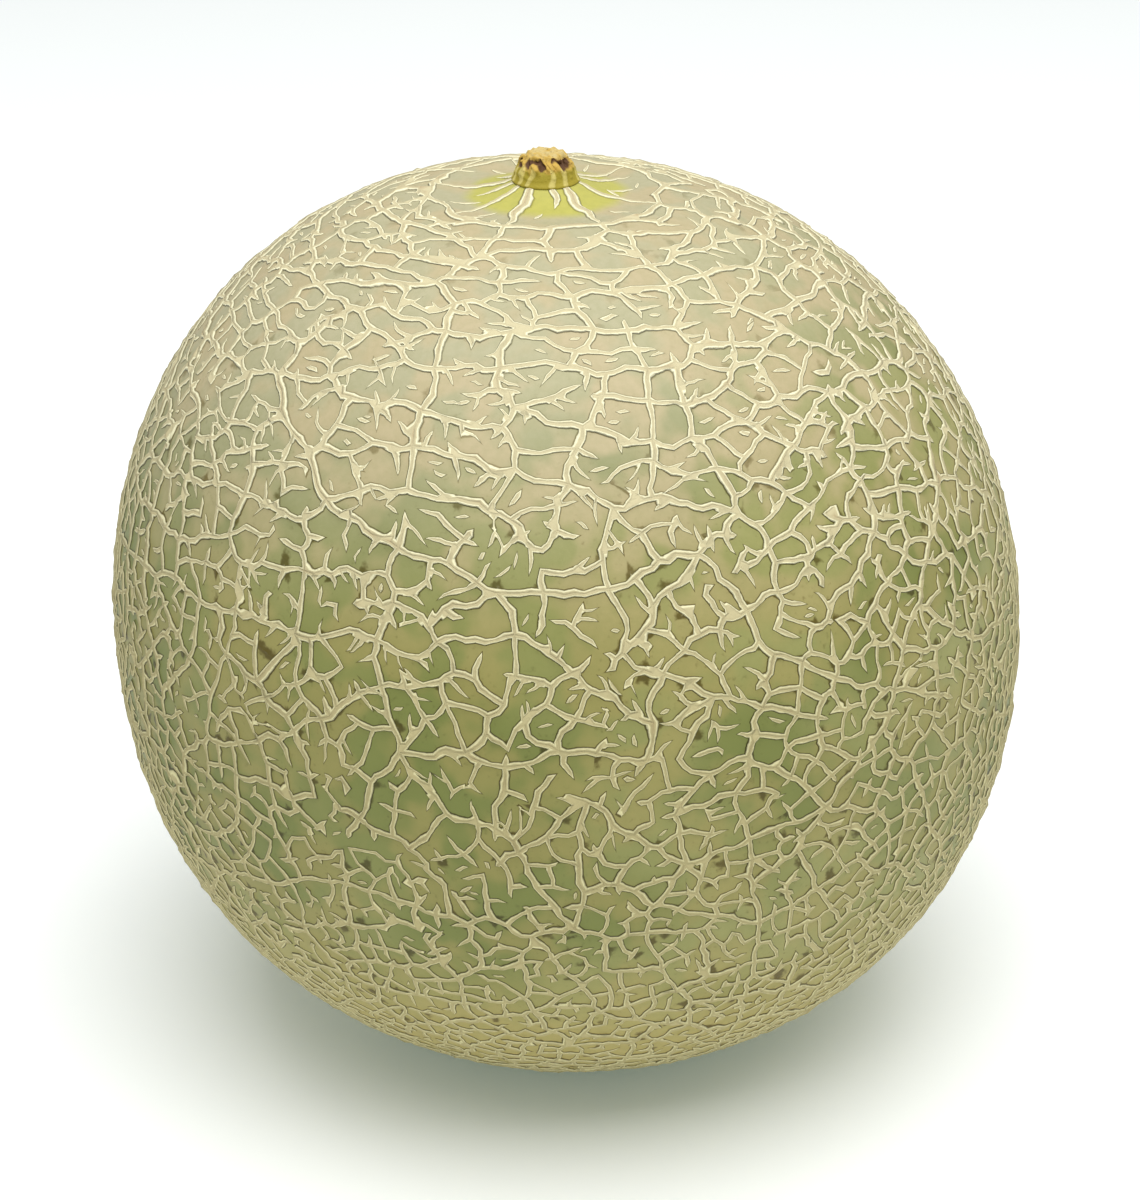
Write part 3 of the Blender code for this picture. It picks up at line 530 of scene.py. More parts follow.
def far_side(net, cell, spot, target, here):
    """Where the way from spot to target leaves a cell, except by a rope at the node here."""
    loop = net.cells[cell]
    found = None
    for a, b in zip(loop, loop[1:] + loop[:1]):
        if here in (a, b):
            continue
        met = crossing(spot, target, chart(net.place[a], spot[0]), chart(net.place[b], spot[0]))
        if met and (found is None or met[0] < found[0]):
            found = (*met, a, b)
    return found


# %% [markdown]
# Where the way leaves a cell it gets a knot, or takes one that is close by. A bend inside a cell becomes a
# node of the rope that crosses it.

# %% Laying long ropes


def knot_on(net, share, a, b):
    """The knot at a share of the rope a-b: an end that is close and has room, or a new one."""
    near, gap = (a, share) if share < 0.5 else (b, 1 - share)
    reach = KNOT_REACH if net.hold[near] < MOST_ROPES else KNOT_REACH / 2
    if gap * net.length(a, b) < reach:
        return near
    return net.split_rope(a, b, between(net.place[a], net.place[b], share))


def lay_rope(net, points, width):
    """Lay one long rope from knot to knot: straight across each cell, or bent at its points in there."""
    here = nearest_knot(net, points[0])
    spot = chart(net.place[here], angles(points[0])[0])
    cell, bends = None, []
    for point in points[1:]:
        target = chart(point, spot[0])
        if not bends:
            cell = cell_ahead(net, here, target)
        while cell is not None:
            far = far_side(net, cell, spot, target, None if bends else here)
            if far is None:
                bends.append(net.node(point))
                spot = target
                break
            k = knot_on(net, *far[1:])
            if not bends and frozenset((here, k)) in net.rope:
                net.join(here, k, max(width, net.rope[frozenset((here, k))]))
            elif k != here:
                net.split_cell(cell, here, k, bends, width)
            here, bends = k, []
            spot = chart(net.place[k], spot[0])
            cell = cell_ahead(net, here, target) if np.linalg.norm(target - spot) > CLOSE else None


# %% [markdown]
# Halving leaves some very short ropes and crooked knots. Short ropes are closed up, and each knot is drawn
# towards its neighbours, as a stretched net would do by itself.

# %% Tidying the knots


def draw_together(net, fixed, shortest):
    """Close up each rope that is too short, so that its two knots become one."""
    around = net.neighbours()
    for pair in sorted(net.rope, key=lambda pair: (net.length(*pair), sorted(pair))):
        if pair not in net.rope or net.length(*pair) > shortest:
            continue
        keep, gone = sorted(pair, key=lambda k: (k not in fixed, k))
        cells = [net.owner.get((keep, gone)), net.owner.get((gone, keep))]
        if gone in fixed or any(c is None or len(net.cells[c]) < 4 for c in cells):
            continue
        if set(around[keep]) & set(around[gone]) or net.hold[keep] + net.hold[gone] > MOST_ROPES + 3:
            continue
        if keep not in fixed:
            middle = net.place[keep] + net.place[gone]
            net.place[keep] = middle / np.linalg.norm(middle)
        ways = [way for k in around[gone] for way in ((k, gone), (gone, k))]
        touched = {net.owner.pop(way, None) for way in ways} - {None}
        net.part(keep, gone)
        around[keep].remove(gone)
        for other in around.pop(gone):
            if other != keep:
                net.join(keep, other, net.part(gone, other))
                around[keep].append(other)
                around[other][around[other].index(gone)] = keep
        for cell in touched:
            loop = [keep if k == gone else k for k in net.cells[cell]]
            net.cells[cell] = [k for i, k in enumerate(loop) if k != loop[i - 1]]
            net.own(cell)


def relax(net, fixed, share):
    """Draw each knot a share of the way to the middle of its neighbours."""
    around = net.neighbours()
    old = list(net.place)
    for k, others in around.items():
        if k not in fixed and len(others) > 2:
            mean = sum(old[n] for n in others) / len(others)
            moved = between(old[k], mean, share)
            net.place[k] = moved / np.linalg.norm(moved)


# %% [markdown]
# The main net starts with a ring round the crown, a ring round the resting spot and seven wavy ropes
# between them. Then come the crown rings and the long ropes, whose bends are places on the fruit, and then
# the halving. These numbers are the solids' own.

# %% Ropes that are laid
# Ribs down the cone: longitude, reach from the stem axis in mm, width in mm, and the turn of the upper end
RIBS = (
    (-169, 12.0, 1.6, 4), (-141, 18.8, 1.6, -5), (-110, 18.8, 2.9, -10), (-81, 10.5, 1.8, 3),
    (-63, 18.8, 2.6, 12), (-20, 18.8, 1.8, 9), (31, 16.5, 1.6, -6), (47, 18.8, 1.6, 4),
    (78, 13.0, 2.2, 3), (108, 18.8, 1.8, -8), (140, 11.5, 1.6, 5), (166, 18.8, 2.0, 6),
)

# Long thick ropes that show from in front: width in mm, then longitude and colatitude of each bend
LONG_ROPES = (
    (3.0, ((-112, 52), (-105, 57), (-100, 63), (-97, 72), (-94, 84), (-90, 92), (-88, 104))),
    (3.0, ((-137, 54), (-124, 57), (-108, 61), (-98, 64))),
    (2.6, ((-107, 57), (-105, 64), (-105, 73), (-108, 80))),
    (2.6, ((-103, 60), (-92, 64), (-84, 65), (-73, 60), (-62, 56))),
    (2.4, ((-92, 51), (-78, 55), (-66, 56), (-52, 60), (-40, 58))),
    (2.6, ((-72, 60), (-66, 68), (-65, 74), (-62, 82), (-63, 92), (-60, 100))),
    (2.4, ((-66, 68), (-55, 66), (-44, 66), (-33, 63))),
    (2.4, ((-28, 56), (-31, 66), (-34, 75), (-37, 86), (-36, 97))),
    (2.4, ((-88, 86), (-79, 90), (-70, 88), (-58, 87), (-46, 84))),
    (2.6, ((-152, 56), (-143, 64), (-138, 76), (-136, 88), (-130, 99))),
    (2.4, ((-128, 68), (-122, 78), (-116, 86), (-107, 89), (-97, 92))),
    (2.4, ((-104, 88), (-99, 98), (-95, 108), (-90, 118))),
    (2.4, ((-78, 98), (-72, 106), (-62, 110), (-52, 108))),
)

# Ring ropes round the crown: colatitude, first and last longitude
RING_ROPES = (
    (19.0, -178, -20), (18.0, 0, 150), (23.5, -150, 30), (24.0, 60, 170), (28.0, -120, 120),
    (28.5, 140, 230), (33.0, -170, -40), (33.0, -20, 110), (38.5, -135, -30), (39.0, 10, 160),
    (44.0, -160, -60), (45.5, -50, 60), (44.5, 90, 180),
)

print("laid", len(RIBS), "ribs,", len(LONG_ROPES), "long ropes,", len(RING_ROPES), "ring ropes")

# %% [markdown]
# The start is made of seven long cells like the gores of a globe, with wavy sides.

# %% Main net
GORES = 7
FIRST_GORE = -171.0
START_COLATS = (30, 48, 66, 84, 102, 120, 138, 152)
START_WANDER = 6.0
CROWN_KNOTS = (-172, -88, -42, 8, 78, 138)
RING_STEP, RING_WANDER = 18.0, 1.1
RELAX = 0.3


def start_net(rng):
    """A ring round the crown, a ring round the flat spot, and wavy ropes from one to the other."""
    net = Net()
    ring_colat, flat_colat = np.degrees(colat_above(RING_RADIUS)), np.degrees(colat_below(FLAT_RADIUS))
    rib_lons = [rib[0] for rib in RIBS if rib[1] * MM >= RING_RADIUS]
    top_lons = sorted(rib_lons + list(CROWN_KNOTS))
    top = [net.node(grown(lon, ring_colat)) for lon in top_lons]
    base_lons = [360 * i / (3 * GORES) + FIRST_GORE for i in range(3 * GORES)]
    base = [net.node(grown(lon, flat_colat)) for lon in base_lons]
    lines = []
    starts = []
    for g in range(GORES):
        low = base_lons[3 * g]
        start = min(range(len(top)), key=lambda i: abs(math.remainder(top_lons[i] - low, 360)))
        high = low + math.remainder(top_lons[start] - low, 360)
        starts.append(start)
        chain = [top[start]]
        for colat in START_COLATS:
            share = (colat - ring_colat) / (flat_colat - ring_colat)
            lon = high + (low - high) * share + rng.uniform(-START_WANDER, START_WANDER)
            chain.append(net.node(grown(lon, colat)))
        lines.append(chain + [base[3 * g]])
    for g in range(GORES):
        left, right = lines[g], lines[(g + 1) % GORES]
        count = (starts[(g + 1) % GORES] - starts[g]) % len(top)
        upper = [top[(starts[g] + i) % len(top)] for i in range(1, count)]
        net.add_cell(left + [base[3 * g + 1], base[3 * g + 2]] + right[::-1] + upper[::-1])
        for a, b in zip(left, left[1:]):
            net.join(a, b, ROPE_WIDTH)
    for ring in (top, base):
        for a, b in zip(ring, ring[1:] + ring[:1]):
            net.join(a, b, ROPE_WIDTH)
    return net, set(top), set(base)


def rim_nodes(net, start):
    """All the nodes on the outer edge of the net that holds the start nodes, in order."""
    ahead = {a: b for b, a in net.owner if (a, b) not in net.owner}
    first = min(start)
    found = [first]
    while ahead[found[-1]] != first:
        found.append(ahead[found[-1]])
    return found


def grow_net():
    """The main net, with the nodes of its rims round the crown and round the flat spot."""
    rng = np.random.default_rng(SEED)
    net, top, base = start_net(rng)
    for colat, first, last in RING_ROPES:
        lons = np.arange(first, last + 1, RING_STEP)
        wander = rng.uniform(-RING_WANDER, RING_WANDER, len(lons))
        lay_rope(net, [grown(lon, colat + w) for lon, w in zip(lons, wander)], RING_WIDTH)
    for width, bends in LONG_ROPES:
        lay_rope(net, [grown(lon, colat) for lon, colat in bends], width * MM)
    grow_cells(net, rng, cell_limit)
    rings = rim_nodes(net, top), rim_nodes(net, base)
    fixed = set(rings[0]) | set(rings[1])
    draw_together(net, fixed, SHORTEST)
    relax(net, fixed, RELAX)
    draw_together(net, fixed, SHORTEST)
    return net, rings


net, (top_ring, base_ring) = grow_net()
print("main net", len(net.cells), "cells", len(net.rope), "ropes")

# %% [markdown]
# ## The fine net
# Ropes that stop short are what makes the net look grown. Those of the main net are drawn as in the
# solids. The part beyond the tip stays in the map with no width, because the cells on its two sides still
# need an edge. Then the net is closed over the resting spot up to the scar, and every cell is halved
# further, with thinner ropes.

# %% Open ropes and the cells below
WAVER = 0.9 * MM
TIP_SHARE, TIP_FRONT_SHARE = 0.05, 0.16
TIP_FRONT_LON, TIP_FRONT_REACH = -98.0, 32.0
TIP_FRONT_COLATS = (55.0, 115.0)
TIP_LENGTH = (0.45, 0.7)
TIP_FIRST_COLAT = 45.0
SCAR_NET_RADIUS = 8.8 * MM


def waver(unit):
    """Sideways wander of a direction by crossed sine waves, slow enough to leave every cell whole."""
    x, y, z = unit[..., 0], unit[..., 1], unit[..., 2]
    drift = np.stack([np.sin(9 * y + 13 * z + 1.1) + np.sin(21 * z - 12 * x + 0.3),
                      np.sin(11 * z - 8 * x + 2.3) + np.sin(17 * x + 14 * y + 1.9),
                      np.sin(10 * x + 9 * y + 0.7) + np.sin(19 * y - 13 * z + 2.9)], -1)
    return unit_of(unit + drift * (WAVER / RADIUS / 2) * (1 - z[..., None] ** 2))


def on_circle(unit, colat):
    """A direction moved along its own meridian to a colatitude."""
    return direction(angles(unit)[0], colat)


def at_open_front(unit):
    """Whether a place lies in the open part of the front."""
    lon, colat = np.degrees(angles(unit))
    aside = np.abs((lon - TIP_FRONT_LON + 180) % 360 - 180)
    return (aside < TIP_FRONT_REACH) & (colat > TIP_FRONT_COLATS[0]) & (colat < TIP_FRONT_COLATS[1])


def open_main_ropes(net, top_ring, base_ring):
    """Split each main rope that stops short at its tip, and take the width off its far part."""
    rng = np.random.default_rng(SEED + 1)
    rims = set(top_ring) | set(base_ring)
    places = waver(real(np.array(net.place)))
    for k in top_ring:
        places[k] = on_circle(real(net.place[k]), colat_above(RING_RADIUS))
    below = {pair for pair in net.rope if pair <= set(base_ring)}
    for pair in sorted(set(net.rope) - below, key=sorted):
        a, b = sorted(pair)
        share = TIP_FRONT_SHARE if at_open_front(places[a]) else TIP_SHARE
        draw, reach = rng.random(), rng.uniform(*TIP_LENGTH)
        colat = np.degrees(angles(places[a]))[1]
        if draw < share and net.rope[pair] <= ROPE_WIDTH and not {a, b} & rims and colat > TIP_FIRST_COLAT:
            tip = net.split_rope(a, b, between(net.place[a], net.place[b], reach))
            net.rope[frozenset((tip, b))] = 0.0


def close_below(net, base_ring):
    """Seven cells between the ring round the flat spot and a ring round the scar."""
    rim = sorted(base_ring, key=lambda k: angles(net.place[k])[0])
    starts = [round(i * len(rim) / GORES) for i in range(GORES)] + [len(rim)]
    lons = [math.degrees(angles(net.place[rim[i]])[0]) for i in starts[:-1]]
    scar = [net.node(grown(lon, math.degrees(colat_below(SCAR_NET_RADIUS)))) for lon in lons]
    rim, scar = rim + rim[:1], scar + scar[:1]
    for i in range(GORES):
        net.join(rim[starts[i]], scar[i], ROPE_WIDTH)
        net.join(scar[i], scar[i + 1], ROPE_WIDTH)
    for i in range(GORES):
        net.add_cell([rim[starts[i]], scar[i], scar[i + 1]] + rim[starts[i] + 1:starts[i + 1] + 1][::-1])


open_main_ropes(net, top_ring, base_ring)
main_nodes = len(net.place)
close_below(net, base_ring)
print("open ropes", sum(width == 0 for width in net.rope.values()), "cells now", len(net.cells))

# %% [markdown]
# The thin ropes come from the same halving with a smaller limit, which falls from the crown to the base and
# towards the sides. Their knots are drawn together and relaxed, but the main knots stay, so the fine net
# keeps to the solids' ropes.

# %% Thin ropes
FINE_COLATS = (0, 45, 60, 75, 95, 115, 180)
FINE_SHARES = (0.42, 0.39, 0.33, 0.235, 0.17, 0.135, 0.145)    # of the main net's limit, at those places
BACK_MORE = 0.5                # how much larger the cells are at the back, so that the front can have more
SIDE_LESS = 0.3
SIDE_COLATS = (35, 55)
THIN_SHORTEST = 1.2 * MM
THIN_WIDTHS = (0.62 * MM, 0.9 * MM, 1.3 * MM)     # least, most usual and greatest


def fine_limit(middle):
    """Limit of a cell in the fine net: a share of the main one by colatitude, less at the sides and more
    at the back."""
    lon, colat = np.degrees(angles(middle))
    aside = math.remainder(lon - OPEN_LON, 360) / OPEN_REACH[0]
    side = SIDE_LESS * (1 - math.exp(-aside ** 2)) * float(np.interp(colat, SIDE_COLATS, (0, 1)))
    back = BACK_MORE * max(0.0, float(middle[1]))
    return cell_limit(middle) * float(np.interp(colat, FINE_COLATS, FINE_SHARES)) * (1 - side + back)


def thin_width(rng):
    """Width of a thin rope, by a triangular draw."""
    return rng.triangular(*THIN_WIDTHS)


def grow_thin_ropes(net, held):
    """Halve all cells to the fine limit, and tidy all but the held nodes."""
    rng = np.random.default_rng(SEED + 7)
    grow_cells(net, rng, fine_limit, thin_width)
    draw_together(net, held, THIN_SHORTEST)
    relax(net, held, RELAX)
    draw_together(net, held, THIN_SHORTEST)


held_nodes = set(range(main_nodes)) - set(base_ring)
top_ring = set(top_ring)
grow_thin_ropes(net, held_nodes)
crown_ring = rim_nodes(net, top_ring)
print("fine net", len(net.cells), "cells", len(net.rope), "ropes")

# %% [markdown]
# ## Strokes
# Every rope is now a stroke from one place to another, with a half width at each end. A stroke that starts
# or ends in no knot has a tip there. A third of the cork's charm is in what belongs to no cell: spurs that
# leave a rope like the barb of a feather, ropes that overshoot a junction, and short dashes on their own.
# They are strokes too, so one table holds them all.

# %% Table of strokes
STEP, SPUR_STEP = 1.75 * MM, 1.0 * MM  # greatest way between two stations
TIP = -1                       # stands for the knot at an end that has none
ON_ROPE = -2                   # and at one that starts on the middle line of a rope
WIDTH_COLATS = (20, 45, 65, 90, 115)
WIDTH_SHARES = (0.97, 0.93, 0.86, 0.8, 0.75)
RIPPLE_WAVES, RIPPLE_SPREAD = 7, (0.7, 1.4)


def ripple(points, wavelength, seed):
    """Smooth unevenness, mostly between -1 and 1: the sum of plane waves in random directions."""
    rng = np.random.default_rng(seed)
    ways = unit_of(rng.normal(size=(RIPPLE_WAVES, 3)))
    ways *= 2 * math.pi / wavelength * rng.uniform(*RIPPLE_SPREAD, (RIPPLE_WAVES, 1))
    phase = rng.uniform(0, 2 * math.pi, RIPPLE_WAVES)
    return np.sin(points @ ways.T + phase).sum(-1) / math.sqrt(RIPPLE_WAVES)


def strokes_of(start, finish, half_start, half_finish, bulge=0.0, bow=0.0, knots=None, step=STEP):
    """Table of strokes: their ends, half widths, bulge of the middle, bow to the left, knots and step."""
    count = len(start)
    columns = dict(half_start=half_start, half_finish=half_finish, bulge=bulge, bow=bow, step=step)
    table = {name: np.broadcast_to(column, count) for name, column in columns.items()}
    knots = np.full((count, 2), TIP) if knots is None else knots
    return table | {"start": start, "finish": finish, "knots": knots}


def together(*tables):
    """Several tables of the same columns as one."""
    return {name: np.concatenate([table[name] for table in tables]) for name in tables[0]}


def knot_places(net, crown_ring):
    """Direction of every node on the melon; those of the first ring lie on its circle."""
    places = waver(real(np.array(net.place)))
    places[crown_ring] = on_circle(real(np.array(net.place)[crown_ring]), colat_above(RING_RADIUS))
    return places


def width_share(unit):
    """Share of their usual width that the strokes have at a place: less further down."""
    return np.interp(np.degrees(angles(unit)[1]), WIDTH_COLATS, WIDTH_SHARES)


# %% [markdown]
# A rope of the net takes its width from the draw that made it, narrower lower down, and widens towards a
# knot that it shares with a thicker one. The ribs and threads on the cone have places of their own, as the
# photograph shows them.

# %% Ropes, ribs and threads
THICK_SHARE = 0.48             # shown width of a long rope, as a share of its width in the solids
MAIN_WIDTHS = (0.9 * MM, 1.15 * MM, 1.6 * MM)
FLARE = 0.3                    # how far a thin rope widens towards the thickest at its knot
OPEN_THIN, OPEN_THIN_FRONT = 0.3, 0.5  # share of the thin ropes that stop short, and of those in front
OPEN_LENGTH = (0.45, 0.88)     # how much of its length such a rope keeps
RIB_ENDS = (0.62, 0.28)        # half width of a rib at its ends, as a share of that of its middle
RIB_SHARE, RIB_BULGE = 0.72, 1.0
BULGE, BOW = (-0.22, 0.15), 0.06       # of a rope's middle: range as a share of its width, spread aside

# Thin threads between the cone and the first ring: longitude and reach in mm of both ends, width in mm
CONE_THREADS = (
    (-2, 9.0, 8, 14.5, 0.8), (8, 14.5, 22, 15.5, 0.7), (-12, 12.0, -2, 9.0, 0.9),
    (-152, 11.0, -163, 16.5, 0.8), (-163, 16.5, -158, 18.0, 0.7), (-126, 12.5, -131, 16.8, 0.7),
    (-92, 11.2, -99, 13.8, 0.7), (-45, 13.0, -38, 17.2, 0.8), (62, 12.0, 66, 16.8, 0.7),
    (122, 11.5, 127, 15.5, 0.8),
)


def rope_strokes(net, places):
    """The ropes of the net as strokes. Some thin ones stop short, and a rope with a bare end has a tip."""
    rng = np.random.default_rng(SEED + 11)
    pairs = np.array(sorted(sorted(pair) for pair in net.rope if net.rope[pair] > 0))
    made = np.array([net.rope[frozenset(pair)] for pair in pairs.tolist()])
    main = made >= ROPE_WIDTH
    shown = np.where(made > ROPE_WIDTH, made * THICK_SHARE, rng.triangular(*MAIN_WIDTHS, len(made)))
    half = np.where(main, shown, made) / 2 * width_share(places[pairs[:, 0]])
    turned = rng.random(len(pairs)) < 0.5
    pairs[turned] = pairs[turned][:, ::-1]
    start, finish = places[pairs[:, 0]], places[pairs[:, 1]]
    odds = np.where(at_open_front(start), OPEN_THIN_FRONT, OPEN_THIN)
    opened = ~main & (rng.random(len(pairs)) < odds)
    reach = np.where(opened, rng.uniform(*OPEN_LENGTH, len(pairs)), 1.0)[:, None]
    finish = unit_of(between(start, finish, reach))
    knots = np.where(opened[:, None] & [False, True], TIP, pairs)
    hold = np.bincount(knots[knots >= 0], minlength=len(places))
    knots = np.where((knots >= 0) & (hold[knots] > 1), knots, TIP)
    most = np.zeros(len(places))
    np.maximum.at(most, np.maximum(knots, 0), half[:, None])
    ends = np.where(knots >= 0, half[:, None] + FLARE * (most[knots] - half[:, None]), half[:, None])
    bulge = rng.uniform(*BULGE, len(pairs))
    bow = rng.normal(0, BOW, len(pairs)) * np.linalg.norm(finish - start, axis=1)
    return strokes_of(start, finish, ends[:, 0], ends[:, 1], bulge, bow, knots)


def on_cone(lon, reach):
    """Directions at longitudes in degrees and distances from the stem axis in mm."""
    return direction(np.radians(lon), colat_above(reach * MM))


def rib_strokes(places, crown_ring):
    """Spindles down the cone. One that reaches the first ring ends in the ring's nearest knot."""
    lon, reach, width, turn = np.array(RIBS).T
    start = direction(np.radians(lon + turn), colat_above(SEAT_RADIUS))
    finish = on_cone(lon, reach)
    ring = np.array(crown_ring)
    nearest = ring[(finish @ places[ring].T).argmax(1)]
    joined = reach * MM >= RING_RADIUS
    finish = np.where(joined[:, None], places[nearest], finish)
    knots = np.stack([np.full(len(lon), ON_ROPE), np.where(joined, nearest, TIP)], 1)
    halves = [width * MM * RIB_SHARE / 2 * share for share in RIB_ENDS]
    return strokes_of(start, finish, *halves, RIB_BULGE, knots=knots, step=SPUR_STEP)


def thread_strokes():
    """The threads beside the cone, with a tip at each end."""
    lon_a, reach_a, lon_b, reach_b, width = np.array(CONE_THREADS).T
    return strokes_of(on_cone(lon_a, reach_a), on_cone(lon_b, reach_b), width * MM / 2, width * MM / 2)


places = knot_places(net, crown_ring)
ropes = together(rope_strokes(net, places), rib_strokes(places, crown_ring), thread_strokes())
print("ropes", len(ropes["start"]), "tips", int((ropes["knots"] == TIP).sum()))

# %% [markdown]
# A stroke is walked in steps. At each station it has a place, which wanders a little to the side, and a
# half width on its left and on its right that differ, because cork has ragged edges. Everything is worked
# out for all stations of all strokes at once.

# %% Stations along the strokes
WANDER = 0.55 * MM             # greatest slow wander of a long rope
WANDER_SHARE = 0.07            # and at most this share of its length
WANDER_WAVE = 6.0 * MM
JAG = 0.12 * MM
RAGGED, RAGGED_LIMITS = 0.17, (0.6, 1.5)
TAPER = 2.4 * MM
TAPER_SHARE, TAPER_POWER = 0.45, 0.75
BULGE_POWER = 0.8              # below 1, the bulge lies nearer to the start than to the end


def stations(strokes, seed):
    """Stations of all strokes: place, left side, both half widths, stroke and knot. A place is on the
    straight way, moved aside by slow waves, a jag and a bow, and the half widths narrow to each tip."""
    rng = np.random.default_rng(seed)
    length = np.linalg.norm(strokes["finish"] - strokes["start"], axis=1) * RADIUS
    bare = (strokes["knots"] == TIP).sum(1)
    count = np.maximum(np.ceil(length / strokes["step"]).astype(int), 1 + bare)
    stroke = np.repeat(np.arange(len(count)), count + 1)
    first = (np.cumsum(count + 1) - count - 1)[stroke]
    last = first + count[stroke]
    here = np.arange(len(stroke))
    share = (here - first) / count[stroke]
    start, finish = strokes["start"][stroke], strokes["finish"][stroke]
    tip_start, tip_finish = (strokes["knots"][stroke] == TIP).T
    left = unit_of(np.cross(start, finish))
    from_knot = np.minimum(np.where(tip_start, 1, share), np.where(tip_finish, 1, 1 - share))
    loose = np.sqrt(np.minimum(2 * from_knot, 1))
    unit = between(start, finish, share[:, None])
    slow = np.minimum(WANDER, WANDER_SHARE * length[stroke]) * ripple(unit * RADIUS, WANDER_WAVE, seed + 1)
    fine = strokes["step"][stroke] / STEP
    aside = loose * (slow + JAG * fine * rng.normal(size=len(stroke))) / RADIUS
    aside += strokes["bow"][stroke] * np.sin(math.pi * share)
    unit = unit_of(unit + left * aside[:, None])
    way = unit[np.minimum(here + 1, last)] - unit[np.maximum(here - 1, first)]
    half = between(strokes["half_start"][stroke], strokes["half_finish"][stroke], share)
    half = half * (1 + strokes["bulge"][stroke] * np.sin(math.pi * share ** BULGE_POWER))
    taper = np.minimum(TAPER, TAPER_SHARE * length)[stroke]
    for tip, gap in ((tip_start, share), (tip_finish, 1 - share)):
        near = np.clip(gap * length[stroke] / taper, 0, 1) ** TAPER_POWER
        half = half * np.where(tip, near, 1)
    ragged = 1 + RAGGED * fine[:, None] * rng.normal(size=(len(stroke), 2))
    halves = half[:, None] * np.clip(ragged, *RAGGED_LIMITS)
    knot = np.where(here == first, strokes["knots"][stroke, 0], TIP)
    knot = np.where(here == last, strokes["knots"][stroke, 1], knot)
    return {
        "unit": unit, "left": unit_of(np.cross(unit, way)), "halves": halves,
        "stroke": stroke, "knot": knot, "first": here == first, "last": here == last,
    }


# %% [markdown]
# How deep a place lies in the cork comes from its distance to the nearest stroke, measured in half widths:
# 0 on the middle line, 1 at the foot. Two ropes that meet then share one smooth pad, as on the fruit. To
# find the nearest strokes quickly, places and stretches are sorted into small cubes, and each cube is
# matched with its neighbours only.

# %% Distance to the strokes
REACH = 3.0 * MM / RADIUS
CUBES, CUBE_SHIFT = 4096, 1.5          # more than the cubes along an axis; makes all their numbers positive
CREST = 0.52 * MM              # height of a rope of the usual half width
USUAL_HALF = 0.6 * MM
CREST_LIMITS = (0.35, 1.3)
FOOT = 1.3                     # half widths to the outer side of the painted shade line beside a rope
THIN_HALF = 0.25 * MM
BARE = 9.0                     # "across" of skin that has no rope within REACH


def near_pairs(points, middles):
    """Numbers (point, middle) of all pairs whose cubes of side REACH are the same or touch."""
    cube, cube_middle = (np.floor((p + CUBE_SHIFT) / REACH).astype(np.int64) for p in (points, middles))
    weights = np.array([CUBES ** 2, CUBES, 1])
    order = np.argsort(cube_middle @ weights, kind="stable")
    keys = (cube_middle @ weights)[order]
    found = []
    for offset in np.ndindex(3, 3, 3):
        wanted = (cube + np.array(offset) - 1) @ weights
        low, high = np.searchsorted(keys, wanted, "left"), np.searchsorted(keys, wanted, "right")
        count = high - low
        point = np.repeat(np.arange(len(points)), count)
        skip = np.repeat(low - (np.cumsum(count) - count), count)
        found.append(np.stack([point, order[skip + np.arange(count.sum())]]))
    return np.concatenate(found, 1)


def stretches(walk):
    """The stretches between neighbouring stations: their ends and the half widths there."""
    i = np.flatnonzero(~walk["last"])
    return {"a": walk["unit"][i], "b": walk["unit"][i + 1],
            "half_a": walk["halves"][i], "half_b": walk["halves"][i + 1]}


def section(across):
    """Height of a rope's cross section at a share of its half width: an arch down to the foot."""
    return 1 - np.clip(across / FOOT, 0, 1) ** 2


def cork(points, marks):
    """For each point: least distance in half widths, that rope's half width, the clear way to the nearest
    foot and the rise, which is the greatest over all the ropes near it. The distance is FOOT at a tip,
    where the half width is nothing."""
    i, j = near_pairs(points, (marks["a"] + marks["b"]) / 2)
    a, arm = marks["a"][j], (marks["b"] - marks["a"])[j]
    off = points[i] - a
    share = np.clip((off * arm).sum(1) / (arm ** 2).sum(1), 0, 1)
    off = off - arm * share[:, None]
    on_right = (np.cross(a, arm) * off).sum(1) < 0
    halves = between(marks["half_a"][j], marks["half_b"][j], share[:, None])
    half = np.where(on_right, halves[:, 1], halves[:, 0])
    gap = np.linalg.norm(off, axis=1) * RADIUS
    ratio = FOOT + (gap - FOOT * half) / np.maximum(half, THIN_HALF)
    across, clear = np.full(len(points), BARE), np.full(len(points), REACH * RADIUS)
    rise, broad = np.zeros(len(points)), np.full(len(points), USUAL_HALF)
    np.minimum.at(across, i, ratio)
    np.minimum.at(clear, i, gap - FOOT * half)
    np.maximum.at(rise, i, CREST * np.clip(half / USUAL_HALF, *CREST_LIMITS) * section(ratio))
    nearest = ratio == across[i]
    broad[i[nearest]] = half[nearest]
    return across, broad, clear, rise


print("crests rise", round(CREST / MM, 2), "mm, strokes are looked for within", round(REACH * RADIUS / MM, 1))

# %% [markdown]
# What belongs to no cell is drawn at random in large numbers, and only what lies in the open is kept, so
# that no two strokes cross. Where several would start in one small cube, the first stays.

# %% Keeping what is in the open
EXTRA_COLATS = (30, 55, 80)
EXTRA_SHARES = (0.75, 0.9, 1.0)


def in_the_open(strokes, marks, shares, room):
    """Whether each stroke keeps its room from the marks at the given shares of its length."""
    free = np.ones(len(strokes["start"]), bool)
    for share in shares:
        spot = unit_of(between(strokes["start"], strokes["finish"], share))
        free &= cork(spot, marks)[2] > room
    return free


def kept(strokes, keep):
    """The strokes of a choice."""
    return {name: column[keep] for name, column in strokes.items()}


def thinned(strokes, rng):
    """A random choice of strokes: fewer round the crown."""
    share = np.interp(np.degrees(angles(strokes["start"])[1]), EXTRA_COLATS, EXTRA_SHARES)
    return kept(strokes, rng.random(len(share)) < share)


